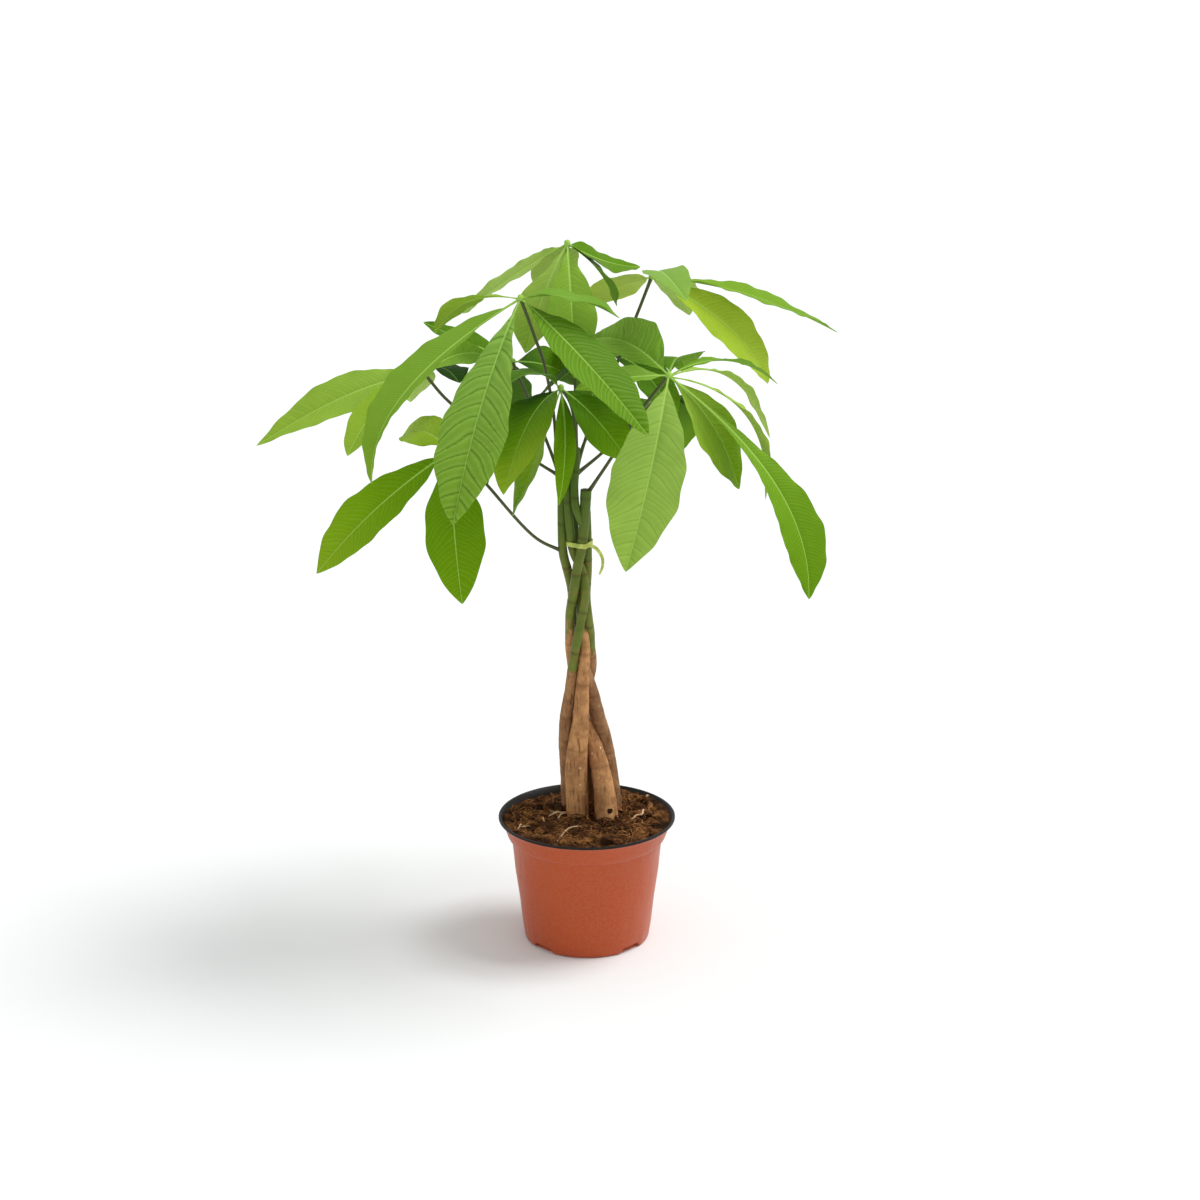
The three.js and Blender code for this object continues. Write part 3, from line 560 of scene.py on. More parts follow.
def leaf_material():
    made, tree, shader, place = new_material("leaf", IOR=1.42, Specular_IOR_Level=0.04)
    # Lightness is partly painted shade and painted light: leaflets at the back or under others are
    # darker, lit or backlit ones paler.
    tone = times(tree, fact(tree, "tone"), 0.75)
    along, underside = fact(tree, "along"), fact(tree, "underside")
    veins = use_group(tree, VEINS, {"Place": place, "From Midrib": fact(tree, "from_midrib"),
                                    "Along": along, "Vein Count": fact(tree, "vein_count")})
    # The cool ramp is paler and bluer: where warmth is low it paints the pale sheen of overhead
    # light on a leaflet's upper parts.
    cool_sheen = ramp(tree, tone, [
        (0, srgb(26, 64, 6)), (0.19, srgb(68, 108, 26)), (0.41, srgb(118, 164, 62)),
        (0.75, srgb(164, 200, 108)), (1, srgb(206, 230, 150))])
    warm = ramp(tree, tone, [
        (0, srgb(30, 72, 2)), (0.19, srgb(72, 118, 2)), (0.41, srgb(114, 160, 4)),
        (0.75, srgb(176, 204, 50)), (1, srgb(218, 236, 100))])
    green = blend_colours(tree, fact(tree, "warmth"), cool_sheen, warm)
    deeper = blend_colours(tree, 0.25, green, srgb(54, 104, 2))
    patchy = mottle(tree, place, 38, green, deeper, 0.35)
    between = times(tree, veins["Between Veins"], 0.08)
    green = blend_colours(tree, between, patchy["Colour"], srgb(40, 90, 2))
    # Paler green: painted highlight on the rims beside the creases, and the colour of the fine
    # veins.
    pale = blend_colours(tree, 0.4, green, srgb(200, 226, 120))
    # Painted shade: darker along the side veins where the blade is creased.
    crease = fact(tree, "crease")
    sunken = times(tree, veins["Side Veins"], times(tree, crease, 0.55))
    green = blend_colours(tree, sunken, green, srgb(52, 104, 20))
    # Painted highlight: a pale band just beside each crease.
    rims = spread(tree, veins["Between Veins"], 0.12, 0.4)
    rims = minus(tree, rims, spread(tree, veins["Between Veins"], 0.3, 0.8))
    rim_highlight = times(tree, rims, times(tree, crease, 0.35))
    green = blend_colours(tree, rim_highlight, green, pale)
    green = blend_colours(tree, times(tree, veins["Fine Veins"], 0.08), green, pale)
    rib = times(tree, veins["Midrib"], 0.7)
    green = blend_colours(tree, rib, green, srgb(176, 218, 104))
    # The underside's matt green follows the same painted shade and light, paler where tone is high.
    matt = ramp(tree, tone, [
        (0, srgb(24, 60, 4)), (0.4, srgb(122, 162, 40)), (1, srgb(214, 234, 120))])
    green = blend_colours(tree, times(tree, underside, 0.35), green, matt)
    tree.links.new(green, shader.inputs["Base Color"])
    rough = plus(tree, 0.38, times(tree, patchy["Mask"], 0.2))
    rough = plus(tree, rough, times(tree, underside, 0.2))
    tree.links.new(rough, shader.inputs["Roughness"])
    relief = times(tree, veins["Fine Veins"], -0.25)
    relief = minus(tree, relief, times(tree, veins["Side Veins"], 0.8))
    bump(tree, shader, relief, 0.00015, 0.8)
    return made


def stem_skin(name, corky, rough):
    """Bark that gives way to green skin where the attribute `green` passes one half."""
    made, tree, shader, place = new_material(name, Specular_IOR_Level=0.15)
    grain = fine_grain(tree, place, (1, 1, 0.1), 380)
    rings = fine_grain(tree, place, (0.22, 0.22, 2.0), 120)
    bark = mottle(tree, place, 62, srgb(208, 154, 102), srgb(156, 108, 70), 0.8, 0.14)
    fissures = spread(tree, grain["Height"], 0.46, 0.34, 0, 0.7)
    bark_colour = blend_colours(tree, fissures, bark["Colour"], srgb(112, 74, 40))
    pale = spread(tree, rings["Height"], 0.62, 0.76, 0, 0.45)
    bark_colour = blend_colours(tree, pale, bark_colour, srgb(220, 178, 128))
    flecks = add(tree, "ShaderNodeTexVoronoi", {"Vector": place, "Scale": 95, "Randomness": 1.0})
    few = add(tree, "ShaderNodeTexNoise", {"Vector": place, "Scale": 48, "Detail": 2})
    fleck = times(tree, spread(tree, flecks.outputs["Distance"], 0.14, 0.08),
                  spread(tree, few.outputs["Fac"], 0.46, 0.56))
    bark_colour = blend_colours(tree, times(tree, fleck, corky), bark_colour,
                                srgb(240, 208, 162))
    # Weathered grey bark, and painted shade: the stems further back are made greyer and darker.
    grey_and_shade = blend_colours(tree, 0.55, bark_colour, srgb(104, 84, 66))
    bark_colour = blend_colours(tree, fact(tree, "weathered"), bark_colour, grey_and_shade)
    spot = tuple(c * MILLIMETRE for c in KNOT_HOLE)
    from_hole = add(tree, "ShaderNodeVectorMath", {0: place, 1: spot}, operation="DISTANCE")
    from_hole = plus(tree, from_hole.outputs["Value"],
                      times(tree, minus(tree, grain["Height"], 0.5), 0.004))
    callus = times(tree, spread(tree, from_hole, 0.0075, 0.004), 0.6)
    bark_colour = blend_colours(tree, callus, bark_colour, srgb(226, 174, 120))
    hole = spread(tree, from_hole, 0.0031, 0.0021)
    bark_colour = blend_colours(tree, hole, bark_colour, srgb(66, 36, 16))
    green = mottle(tree, place, 50, srgb(120, 128, 54), srgb(84, 104, 32), 0.8)
    upward = spread(tree, add(tree, "ShaderNodeSeparateXYZ", {"Vector": place}).outputs["Z"],
                    0.33, 0.46)
    tan = times(tree, spread(tree, rings["Height"], 0.5, 0.36), 0.45)
    green_colour = blend_colours(tree, tan, green["Colour"], srgb(140, 112, 64))
    green_colour = blend_colours(tree, upward, green_colour, srgb(84, 108, 38))
    ragged = times(tree, minus(tree, bark["Mask"], 0.35), 0.6)
    streaks = times(tree, minus(tree, grain["Height"], 0.5), 0.9)
    edge = plus(tree, fact(tree, "green"), plus(tree, ragged, streaks))
    greenness = spread(tree, edge, 0.3, 0.7)
    colour = blend_colours(tree, greenness, bark_colour, green_colour)
    colour = blend_colours(tree, fact(tree, "scar"), colour, srgb(70, 46, 24))
    colour = blend_colours(tree, fact(tree, "petiole"), colour, srgb(88, 90, 60))
    tree.links.new(colour, shader.inputs["Base Color"])
    smooth = times(tree, greenness, 0.3)
    tree.links.new(minus(tree, rough, smooth), shader.inputs["Roughness"])
    relief = grain["Height"]
    for mask, weight in ((rings["Height"], 0.5), (bark["Mask"], -0.8), (fleck, 0.5), (hole, -2.5)):
        relief = plus(tree, relief, times(tree, mask, weight))
    depth = minus(tree, 1.0, times(tree, greenness, 0.8))
    bump(tree, shader, times(tree, relief, depth), 0.0012 * corky + 0.0004, 0.9)
    return made


def soil_material(name, earthy, patches, relief_depth, pits_and_shade=srgb(30, 16, 8)):
    made, tree, shader, place = new_material(name, Specular_IOR_Level=0.1)
    earth = mottle(tree, place, 46, earthy, patches, 0.95, 0.08)
    fine = mottle(tree, place, 620, earth["Colour"], pits_and_shade, 0.55, 0.12)
    # Painted shade: the hollows of the crumbly top are darkened toward the dark pits' colour.
    colour = blend_colours(tree, fact(tree, "hollow"), fine["Colour"], pits_and_shade)
    tree.links.new(colour, shader.inputs["Base Color"])
    grit = fine_grain(tree, place, (1, 1, 1), 600)
    tree.links.new(spread(tree, grit["Height"], 0.3, 0.7, 0.98, 0.75), shader.inputs["Roughness"])
    bump(tree, shader, grit["Height"], relief_depth)
    return made


def plastic_material(name, colour, worn, rough, shine, sheen, dusty):
    made, tree, shader, place = new_material(name, Specular_IOR_Level=shine, Sheen_Weight=sheen)
    tint = mottle(tree, place, 14, colour, worn, 0.35, 0.3)
    dusted = blend_colours(tree, 0.3, tint["Colour"], srgb(190, 160, 130))
    dust = mottle(tree, place, 420, tint["Colour"], dusted, dusty, 0.06)
    tree.links.new(dust["Colour"], shader.inputs["Base Color"])
    drawn = fine_grain(tree, place, (1, 1, 0.06), 260)
    tree.links.new(spread(tree, drawn["Height"], 0.3, 0.7, rough - 0.04, rough + 0.1),
                   shader.inputs["Roughness"])
    bump(tree, shader, drawn["Height"], 0.0001, 0.5)
    return made


def tie_material():
    made, tree, shader, place = new_material("tie", Specular_IOR_Level=0.4)
    strands = fine_grain(tree, place, (0.15, 0.15, 1.6), 700)
    colour = mottle(tree, place, 170, srgb(212, 216, 116), srgb(148, 166, 58), 0.8)
    tree.links.new(colour["Colour"], shader.inputs["Base Color"])
    rough = spread(tree, strands["Height"], 0.3, 0.7, 0.45, 0.65)
    tree.links.new(rough, shader.inputs["Roughness"])
    bump(tree, shader, strands["Height"], 0.0003)
    return made


# ------------------------------------------------------------------ pot
def notch_height(angle):
    """How far the foot of the wall is cut away at an angle round the pot."""
    spacing = 2 * math.pi / NOTCH_COUNT
    off = abs((angle % spacing) - spacing / 2)
    share = np.clip((NOTCH_HALF_ANGLE - off) / NOTCH_RAMP, 0, 1)
    return NOTCH_HEIGHT * share * share * (3 - 2 * share)


def build_pot():
    angles = turn_in_steps(POT_SIDES)
    notch = notch_height(angles)

    def ring(radius, height):
        heights = np.broadcast_to(height, angles.shape)
        return np.stack([radius * np.cos(angles), radius * np.sin(angles), heights], axis=1)

    foot = [ring(1, 0), ring(NOTCH_INNER_RADIUS - 0.2, 0), ring(NOTCH_INNER_RADIUS, notch),
            ring(57.5, notch), ring(58.8, np.maximum(0.4, notch)), ring(60, np.maximum(1.2, notch))]
    outside = [ring(r, np.maximum(h, notch)) for r, h in POT_OUTSIDE]
    lip = [ring(r, h) for r, h in POT_LIP]
    inside = [ring(r, h) for r, h in [*POT_INSIDE, (1, POT_FLOOR)]]
    body = skin([*foot, *outside, *lip, *inside])
    terracotta_bands = len(foot) + len(outside) - 1
    wears = np.ones(len(body["faces"]), int)
    wears[: terracotta_bands * POT_SIDES] = 0
    wears[-2] = 0
    body["wears"] = wears.tolist()
    terracotta = plastic_material("terracotta_plastic", srgb(182, 70, 10), srgb(172, 72, 18),
                                  rough=0.45, shine=0.35, sheen=0.12, dusty=0.2)
    black = plastic_material("black_plastic", srgb(20, 19, 17), srgb(30, 28, 24),
                             rough=0.4, shine=0.22, sheen=0, dusty=0.06)
    pot = make_piece("nursery_pot", [body], [terracotta, black], replaces=["pot"],
                     sharp=40)
    drill_drains(pot)


def drill_drains(pot):
    """Cuts the drain holes through the floor of the pot."""
    drills = bmesh.new()
    for i in range(DRAIN_COUNT):
        angle = 2 * math.pi * i / DRAIN_COUNT
        made = bmesh.ops.create_cone(
            drills, cap_ends=True, segments=32, radius1=DRAIN_RADIUS * MILLIMETRE,
            radius2=DRAIN_RADIUS * MILLIMETRE, depth=4 * POT_FLOOR * MILLIMETRE)
        place = Vector((math.cos(angle), math.sin(angle), 0)) * DRAIN_CIRCLE * MILLIMETRE
        bmesh.ops.translate(drills, vec=place, verts=made["verts"])
    mesh = bpy.data.meshes.new("drain_drills")
    drills.to_mesh(mesh)
    drills.free()
    cutter = add_object("drain_drills", mesh)
    cut = pot.modifiers.new("drains", "BOOLEAN")
    cut.object, cut.operation, cut.solver = cutter, "DIFFERENCE", "EXACT"
    bpy.context.view_layer.update()
    evaluated = pot.evaluated_get(bpy.context.evaluated_depsgraph_get())
    drilled = bpy.data.meshes.new_from_object(evaluated)
    pot.modifiers.clear()
    pot.data = drilled
    bpy.data.objects.remove(cutter)


# ------------------------------------------------------------------ soil
def wall_radius(height):
    inner = sorted((h, r) for r, h in POT_INSIDE)
    return np.interp(height, [h for h, _ in inner], [r for _, r in inner])


def soil_height(x, y):
    """Height of the soil: a low mound round the braid, uneven with clods and fibres."""
    spread_out = np.minimum(1, np.hypot(x, y) / wall_radius(SOIL_EDGE))
    mound = SOIL_LEVEL + (SOIL_EDGE - SOIL_LEVEL) * spread_out**2.4
    sunken = SOIL_SINK * spread_out**2 * np.clip((y - 0.5 * x - 60) / 40, 0, 1)
    clods = (1.1 * np.sin(0.21 * x + 0.9) * np.cos(0.27 * y) + 0.9 * np.sin(0.37 * x - 0.31 * y + 2)
             + 0.7 * np.sin(0.55 * y + 0.4) * np.sin(0.49 * x))
    return mound - sunken + clods * (1 - spread_out**6)


def crumbs(flat):
    """How far the crumbly top of the soil stands above its smooth height, at points [x, y]."""
    place = np.c_[flat, soil_height(flat[:, 0], flat[:, 1])]
    coarse = 1.8 * lumps(place, 13) + 1.9 * lumps(place, 7, 2)
    return coarse + 1.3 * lumps(place, 3.4, 3) + 0.7 * lumps(place, 1.6, 9) - 0.4


def ground(x, y):
    """Height of the crumbly top at a spot."""
    return float(soil_height(x, y) + crumbs(np.array([[x, y]]))[0])


def soil_bed():
    """The soil's body down to the floor, with a crumbly top."""
    angles = turn_in_steps(SOIL_SIDES)
    circle = np.stack([np.cos(angles), np.sin(angles)], axis=1)
    wall = circle * wall_radius(SOIL_EDGE)
    brim = soil_height(wall[:, 0], wall[:, 1]) - 0.6
    reach = wall_radius(brim) - 0.2
    low = SOIL_EDGE - SOIL_SINK - 2
    rings = [np.c_[circle * (r - 0.3), np.full(SOIL_SIDES, h + 0.3)]
             for r, h in [(1, POT_FLOOR), *[(r, h) for r, h in POT_INSIDE[::-1] if h < low]]]
    hollow_shades = [np.zeros(SOIL_SIDES)] * len(rings)
    for share in [*np.linspace(1, 0.04, SOIL_RINGS), 0.006]:
        flat = circle * (reach * share)[:, None]
        uneven = crumbs(flat)
        settle = np.minimum(1, 0.4 + reach * (1 - share) / 4)
        rings.append(np.c_[flat, soil_height(flat[:, 0], flat[:, 1]) + uneven * settle])
        # Painted shade for the hollows: more where the crumbly top dips lower.
        hollow_shades.append(np.clip(0.2 - uneven / 3, 0, 1))
    return skin(rings, {"hollow": np.array(hollow_shades)})


def clod(x, y, size, squash):
    """A lump of peat lying on the soil."""
    points, faces = ball(2, size)
    turn = draw.uniform(0, math.pi)
    stretch = draw.uniform(0.7, 1.5)
    points = points * (1 + 0.6 * lumps(points, size * 0.8, draw.uniform(0, 90)))[:, None]
    points = points * (stretch, 1 / stretch, squash)
    cosine, sine = math.cos(turn), math.sin(turn)
    spin = np.array([[cosine, -sine, 0], [sine, cosine, 0], [0, 0, 1]])
    return {"points": points @ spin + (x, y, ground(x, y) + size * 0.1), "faces": faces}


def strand(path, thick, sides=6):
    """A thin fibre or root through points in space, tapering to its ends."""
    centres, tangents = catmull_rom(path, 6)
    t = np.linspace(0, 1, len(centres))
    radii = thick * (0.25 + 0.75 * np.sin(math.pi * np.clip(t, 0.04, 0.96)) ** 0.5)
    rings, _ = tube(centres, tangents, radii, sides, away=(0.02, 0.03, 1))
    return skin(rings)


def random_spot(reach):
    angle, radius = draw.uniform(0, 2 * math.pi), reach * math.sqrt(draw.uniform(0.02, 1))
    return radius * math.cos(angle), radius * math.sin(angle)


def wandering(x, y, length, points, lift):
    """A crooked route over the soil from a spot, with its middle lifted off the ground."""
    heading = draw.uniform(0, 2 * math.pi)
    route = []
    for i in range(points):
        share = i / (points - 1)
        height = ground(x, y) + 0.2 + lift * math.sin(math.pi * share)
        route.append((x, y, height))
        heading += draw.uniform(-1.1, 1.1)
        x += length / points * math.cos(heading)
        y += length / points * math.sin(heading)
    return route


def within_pot(route):
    return all(math.hypot(x, y) < wall_radius(SOIL_EDGE) - 2.5 for x, y, _ in route)


def laid_root(spots, thick):
    """A root that rises and dips over the soil between spots on it."""
    lifts = [0.8, *[draw.uniform(2.2, 4.2) for _ in spots[1:-1]], 0.6]
    route = [(x, y, ground(x, y) + lift) for (x, y), lift in zip(spots, lifts)]
    return strand(route, thick * draw.uniform(0.8, 1.15), 8)


def build_soil():
    reach = wall_radius(SOIL_EDGE) - 3
    peat = soil_material("peat", srgb(136, 88, 46), srgb(52, 30, 14), 0.0014)
    make_piece("peat", [soil_bed()], [peat], replaces=["potting_soil"])
    clods = []
    for _ in range(CLOD_COUNT):
        size = 1.1 + 6 * draw.random() ** 2.6
        clods.append(clod(*random_spot(reach - size), size, draw.uniform(0.4, 0.75)))
    light = soil_material("peat_clods", srgb(158, 106, 58), srgb(62, 36, 17), 0.0012)
    make_piece("peat_clods", clods, [light])
    fibres = []
    while len(fibres) < FIBRE_COUNT:
        route = wandering(*random_spot(reach), draw.uniform(12, 52), 9, draw.uniform(0.8, 4.6))
        if within_pot(route):
            fibres.append(strand(route, draw.uniform(0.25, 0.62), 5))
    fibres += [laid_root(spots, 0.6) for spots in BROWN_ROOTS]
    fibre = soil_material("peat_fibres", srgb(176, 122, 74), srgb(104, 64, 34), 0.0004)
    make_piece("peat_fibres", fibres, [fibre])
    roots = [laid_root(spots, 1.0) for spots in PALE_ROOTS]
    pale = soil_material("pale_roots", srgb(232, 204, 168), srgb(196, 158, 116), 0.0003,
                         pits_and_shade=srgb(150, 112, 76))
    make_piece("pale_roots", roots, [pale])


# ------------------------------------------------------------------ stems
def stem_part(path, number, low, high, browns_at, crown=False):
    """The rings of a stem from one point of its path to another, with its skin's relief."""
    centres, tangents = catmull_rom([p[:3] for p in path], STEM_STEPS)
    places = np.arange(len(centres)) / STEM_STEPS
    radii = np.interp(places, np.arange(len(path)), [p[3] for p in path])
    green = 0.5 + (centres[:, 2] - browns_at) / 40
    keep = slice(low * STEM_STEPS, high * STEM_STEPS + 1)
    centres, tangents, radii, green = centres[keep], tangents[keep], radii[keep], green[keep]
    rings, angles = tube(centres, tangents, radii, STEM_SIDES)
    cork = np.clip(1.3 - green, 0.15, 1)
    flutes = 0.035 * np.sin(3 * angles + number * 1.7 + centres[:, 2:] / 40) + 0.02 * np.sin(
        5 * angles - centres[:, 2:] / 25)
    rough = 0.05 * lumps(rings * (1, 1, 0.3), 3.2, number) + 0.025 * lumps(rings, 1.6, number + 5)
    scars = np.zeros(len(centres))
    for level in range(150 + 7 * number, 480, SCAR_SPACING):
        tilt_free = centres[:, 2] - level - 6 * math.sin(level)
        scars += np.exp(-((tilt_free / 1.3) ** 2))
    rims = 0.05 * scars[:, None] * np.clip(green, 0.25, 0.8)[:, None]
    swell = 0.97 + (flutes + rough) * cork[:, None] + rims
    spokes = (rings - centres[:, None]) * swell[:, :, None]
    rings = centres[:, None] + spokes
    facts = {"green": green[:, None],
             "scar": 0.55 * scars[:, None] * np.clip(green, 0.6, 0.9)[:, None],
             "weathered": np.full((len(centres), 1), WEATHERING_AND_SHADE[number])}
    if crown:
        rings, facts = cut_crown(rings, centres[-1], tangents[-1], facts)
    return skin(rings, facts)


def cut_crown(rings, centre, along, facts):
    """Closes the top of a stem with a slightly rounded face."""
    top = rings[-1]
    extra = [centre + (top - centre) * share + along * rise
             for share, rise in ((0.96, 0.5), (0.85, 0.8), (0.5, 0.7), (0.08, 0.6))]
    rings = np.concatenate([rings, np.array(extra)])
    closed = {}
    for name, values in facts.items():
        scar = 0.75 if name == "scar" else float(values[-1, 0])
        closed[name] = np.concatenate([values, np.full((len(extra), 1), scar)])
    return rings, closed


def petiole_part(leaf):
    """A leaf stalk from inside its stem to its leaf's knot, swollen at both ends."""
    _, knot, route, _ = LEAVES[leaf]
    centres, tangents = catmull_rom([*route, knot], 12)
    t = np.linspace(0, 1, len(centres))
    radii = PETIOLE_RADIUS * (1 + 0.55 * np.exp(-t * 14) + 0.5 * np.exp(-(1 - t) * 30))
    away = (0.3, 1, 0) if abs(tangents[:, 1]).max() < 0.95 else (1, 0, 0.3)
    rings, _ = tube(centres, tangents, radii, PETIOLE_SIDES, away)
    return skin(rings, {"green": 1.0, "petiole": 0.85 - 0.6 * np.exp(-(1 - t) * 16)[:, None]})


def build_stems():
    bark = stem_skin("bark", 1.0, 0.85)
    green_skin = stem_skin("green_skin", 0.25, 0.72)
    for number, (browns, path) in enumerate(STEMS):
        browns_at = path[browns][2]
        foot = stem_part(path, number, 0, browns, browns_at)
        make_piece(f"bark_{number + 1}", [foot], [bark],
                   replaces=[f"trunk_{number + 1}"])
        parts = [stem_part(path, number, browns, len(path) - 1, browns_at, crown=True)]
        if number == PRUNED_STEM:
            parts.append(stem_part(SIDE_SHOOT, number, 0, len(SIDE_SHOOT) - 1, 0, crown=True))
        parts += [petiole_part(name) for name, leaf in LEAVES.items() if leaf[0] == number]
        make_piece(f"green_{number + 1}", parts, [green_skin],
                   replaces=[f"shoot_{number + 1}"])


# ------------------------------------------------------------------ tie
def build_tie():
    middle = (TIE_LOW + TIE_HIGH) / 2
    circles = []
    for number in TIE_STEMS:
        _, path = STEMS[number]
        centres, _ = catmull_rom([p[:3] for p in path], STEM_STEPS)
        near = int(np.argmin(abs(centres[:, 2] - middle)))
        radius = np.interp(near / STEM_STEPS, np.arange(len(path)), [p[3] for p in path])
        circles.append((*centres[near][:2], radius))
    angles = turn_in_steps(TIE_SIDES)
    spokes = np.stack([np.cos(angles), np.sin(angles)], axis=1)
    reach = np.array([spokes @ (x, y) + r for x, y, r in circles])
    widest = np.array(circles)[reach.argmax(axis=0)]
    half = (TIE_HIGH - TIE_LOW) / 2
    section = [(0.0, -1), (0.75, -0.96), (1.0, -0.8), (0.8, -0.3), (0.95, 0.1), (0.8, 0.5),
               (1.0, 0.85), (0.7, 0.98), (0.0, 1), (-0.4, 0.5), (-0.4, -0.5)]
    rings = []
    for depth, level in section:
        outer = widest[:, :2] + spokes * (widest[:, 2] + depth * TIE_THICKNESS)[:, None]
        slack = 0.5 * np.sin(3 * angles + 1) + 0.25 * np.sin(7 * angles)
        rings.append(np.c_[outer, middle + level * half + slack * (1 - 0.3 * abs(level))])
    band = np.array(rings).transpose(1, 0, 2)
    centres, tangents = catmull_rom(TIE_TAIL, 10)
    flat = unit(np.cross(tangents, (0.15, 1, 0.1)))
    face = np.cross(flat, tangents)
    t = np.linspace(0, 1, len(centres))
    width = 1.7 * (1 - 0.45 * t**3)[:, None]
    curl = 0.5 * (1 - t)[:, None]
    outline = [(1, 0.35), (0.4, 0.55), (-0.4, 0.55), (-1, 0.35), (-1, -0.25), (-0.4, -0.1),
               (0.4, -0.1), (1, -0.25)]
    tail = np.array([centres + flat * across * width + face * (lift + curl * across**2)
                     for across, lift in outline]).transpose(1, 0, 2)
    parts = [loop_skin(band), skin(tail)]
    make_piece("tie_strip", parts, [tie_material()], replaces=["tie"])


def loop_skin(rings):
    """A skin over rings whose last joins the first, so it has no ends."""
    made = skin(rings)
    count, around = rings.shape[:2]
    made["faces"] = made["faces"][:-2]
    last = (count - 1) * around
    for j in range(around):
        k = (j + 1) % around
        made["faces"].append([last + j, last + k, k, j])
    return made


# ------------------------------------------------------------------ leaves
def blade_outline(t, peak):
    """Half the width of a leaflet from its foot, at 0, to its tip, at 1, where the widest is 1."""
    along = np.maximum(0, t - BLADE_FOOT) / (1 - BLADE_FOOT)
    return np.sin(math.pi * along ** (math.log(0.5) / math.log(peak))).clip(0) ** 0.85


def turned(vectors, axes, angle):
    return vectors * math.cos(angle) + np.cross(axes, vectors) * math.sin(angle)


def blade_part(knot, leaflet):
    """One leaflet: a thin blade, folded at its midrib and puckered between its side veins."""
    tip, width, peak, lean = (leaflet[key] for key in ("tip", "width", "peak", "lean"))
    knot, tip = np.array(knot, float), np.array(tip, float)
    start = knot + tip / np.linalg.norm(tip) * (KNOT_RADIUS / 2)
    end = knot + tip
    middle = (start + end) / 2 + leaflet["bow"]
    length = np.linalg.norm(middle - start) + np.linalg.norm(end - middle)
    spacing = min(14, max(6, width * (0.165 + 0.04 * leaflet["quilt"])))
    rows = int(np.clip(length / spacing * 5.5, 36, 96))
    t = np.linspace(0, 1, rows + 1)[:, None]
    centre = (1 - t) ** 2 * start + 2 * t * (1 - t) * middle + t**2 * end
    along = unit((1 - t) * (middle - start) + t * (end - middle))
    level = np.array([-tip[1], tip[0], 0]) / math.hypot(tip[0], tip[1])
    side = unit(level - along * (along @ level)[:, None])
    side = turned(side, along, math.radians(leaflet["roll"]))
    up = np.cross(along, side)

    u = np.linspace(1, -1, BLADE_COLUMNS + 1)
    s = np.sign(u) * abs(u) ** 1.4
    blade_half = width / 2 * blade_outline(t, peak)
    stalk = 0.9 * (1 - t) ** 2 + 0.12
    half = np.hypot(blade_half, stalk)
    ragged = 1 + 0.03 * np.sin(t * length / 6 + tip[0]) * abs(s) ** 3
    across = s * half * (1 + lean * np.sign(s)) * ragged
    distance = abs(across)
    taper = np.minimum(1, blade_half / 8)
    wave = BLADE_WAVE * taper * np.where(s > 0, np.sin(9.5 * t + tip[0]), np.sin(8.5 * t + tip[1]))
    rise = (BLADE_FOLD * half * (1 + lean * np.sign(s)) + wave) * abs(s) ** 1.1
    edge = np.clip(abs(s) * 2.2 - 1.2, 0, 1) ** 2
    frills = np.sin(t * length / 6.5 + tip[2]) + 0.6 * np.sin(t * length / 3.1 + tip[1])
    frill = 0.7 * taper * edge * frills
    fullest = width / 2 * (1 + abs(lean))
    count = (t * length - 0.42 * distance - 0.45 * distance**2 / fullest) / spacing
    jitter = 0.22 * np.sin(13 * t + tip[0]) + 0.14 * np.sin(29 * t + tip[1])
    count = count + np.where(s > 0, jitter, 0.35 - jitter)
    pucker = abs(np.sin(math.pi * count)) ** 0.75
    pucker = pucker * (1 - abs(s) ** 5) * np.clip(distance / 5, 0, 1) * taper
    height = rise + frill + spacing * leaflet["quilt"] * (0.12 + 0.1 * t) * pucker
    groove = 0.45 * np.exp(-((distance / 1.3) ** 2)) * taper
    rib = (0.75 * (1 - t) + 0.25) * np.exp(-((distance / 1.2) ** 2)) * (0.5 + 0.5 * taper)
    thin = BLADE_THICKNESS * (1 - 0.45 * abs(s) ** 8) * np.minimum(1, half / 1.5)
    stalk_round = 0.5 * np.exp(-((t / 0.05) ** 2)) * (1 - s**2)
    top = height - groove + stalk_round
    below = height - thin - rib - stalk_round
    upper = centre[:, None] + side[:, None] * across[:, :, None] + up[:, None] * top[:, :, None]
    lower = centre[:, None] + side[:, None] * across[:, :, None] + up[:, None] * below[:, :, None]
    rings = np.concatenate([upper, lower[:, ::-1]], axis=1)

    def both(values):
        values = np.broadcast_to(values, distance.shape)
        return np.concatenate([values, values[:, ::-1]], axis=1)

    def foot_to_tip(key):
        foot, end = leaflet[key]
        return both(foot + (end - foot) * t)

    flat = np.zeros_like(distance)
    # Painted light and shade: one half of the blade is lighter than the other, as light falls on
    # one side of the fold.
    half_shading = both(leaflet["split"] / 2 * np.tanh(2.5 * s) * np.minimum(1, 4 * (1 - t)))
    facts = {
        "from_midrib": both(distance), "vein_count": both(count + 20), "along": both(t),
        # Tone from foot to tip carries painted shade, such as a darker foot under the leaves above.
        "tone": foot_to_tip("tone") + half_shading, "warmth": foot_to_tip("warmth"),
        "crease": both(flat + leaflet["quilt"]),
        "underside": np.concatenate([flat, flat + 1], axis=1),
    }
    return skin(rings, facts)


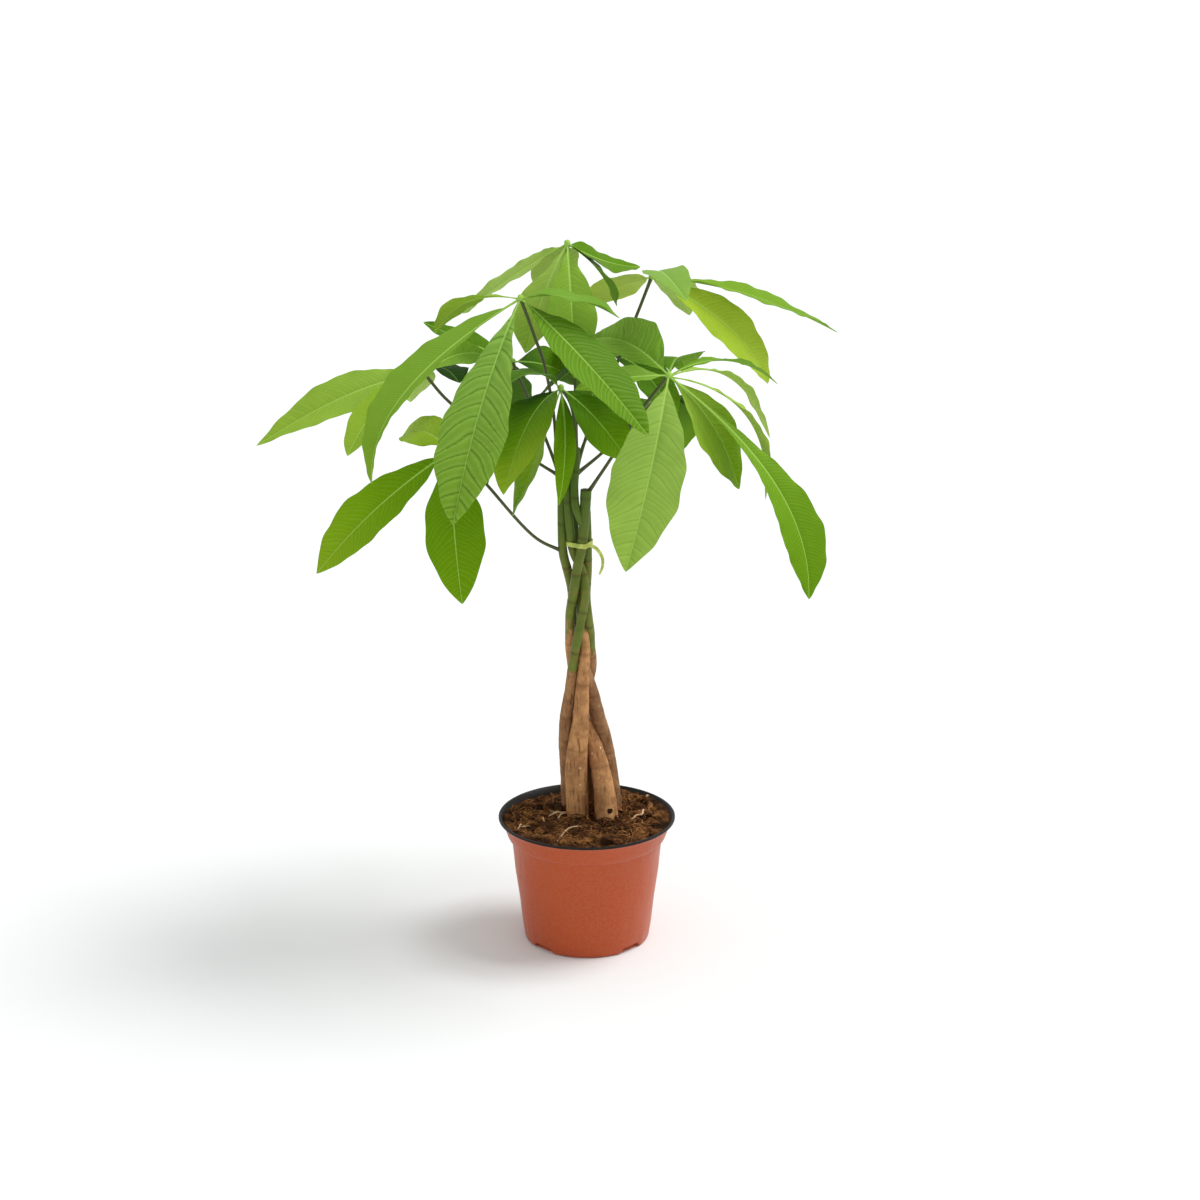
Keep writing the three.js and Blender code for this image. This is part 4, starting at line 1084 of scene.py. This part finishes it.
def knot_part(knot):
    """The small swelling from which the leaflets spread."""
    points, faces = ball(3, KNOT_RADIUS * 0.85)
    points = points * (1 + 0.22 * lumps(points, 2.2, knot[0]))[:, None]
    count = len(points)
    evens = {"tone": 0.5, "warmth": 0.6, "vein_count": 0.5}
    facts = {label: np.full(count, value) for label, value in evens.items()}
    return {"points": points + knot, "faces": faces, "facts": facts}


def build_leaves():
    leaf_skin = leaf_material()
    for name, (_, knot, _, leaflets) in LEAVES.items():
        parts = [knot_part(knot), *[blade_part(knot, leaflet) for leaflet in leaflets]]
        make_piece(f"fresh_{name}", parts, [leaf_skin], replaces=[name], sharp=65)


# ------------------------------------------------------------------ studio
def build_studio():
    floor_mesh = bpy.data.meshes.new("floor")
    signs = ((-1, -1), (1, -1), (1, 1), (-1, 1))
    corners = [(x * FLOOR_REACH, y * FLOOR_REACH, 0) for x, y in signs]
    floor_mesh.from_pydata(corners, [], [(0, 1, 2, 3)])
    floor = add_object("floor", floor_mesh)
    white, tree, shader, place = new_material("floor_paint", Roughness=0.9, Specular_IOR_Level=0.1)
    paint = mottle(tree, place, 3, (0.885, 0.9, 0.902, 1), (0.875, 0.89, 0.892, 1), 0.5)
    tree.links.new(paint["Colour"], shader.inputs["Base Color"])
    floor_mesh.materials.append(white)

    world = bpy.data.worlds.new("studio")
    bpy.context.scene.world = world
    world.use_nodes = True
    background = world.node_tree.nodes["Background"]
    background.inputs["Color"].default_value = (1, 1, 1, 1)
    background.inputs["Strength"].default_value = SURROUND_LIGHT

    def sun(name, strength, softness, turn, height):
        light = bpy.data.lights.new(name, "SUN")
        light.energy = strength
        light.angle = math.radians(softness)
        lamp = add_object(name, light)
        lamp.rotation_euler = (math.radians(90 - height), 0, math.radians(turn))

    sun("key", 2.0, 30, 101, 60)
    bpy.context.scene.view_settings.view_transform = "Standard"


def build_camera():
    """The photograph's view: a long lens, a little above the plant."""
    made = bpy.data.cameras.new("camera")
    made.lens = CAMERA_LENS
    made.sensor_width = CAMERA_SENSOR
    made.clip_end = 200
    camera = add_object("camera", made)
    camera.location = CAMERA_PLACE
    camera.rotation_euler = (math.radians(90 - CAMERA_DIP), 0, -math.radians(CAMERA_TURN))
    bpy.context.scene.camera = camera


build_pot()
build_soil()
build_stems()
build_tie()
build_leaves()
build_studio()
build_camera()
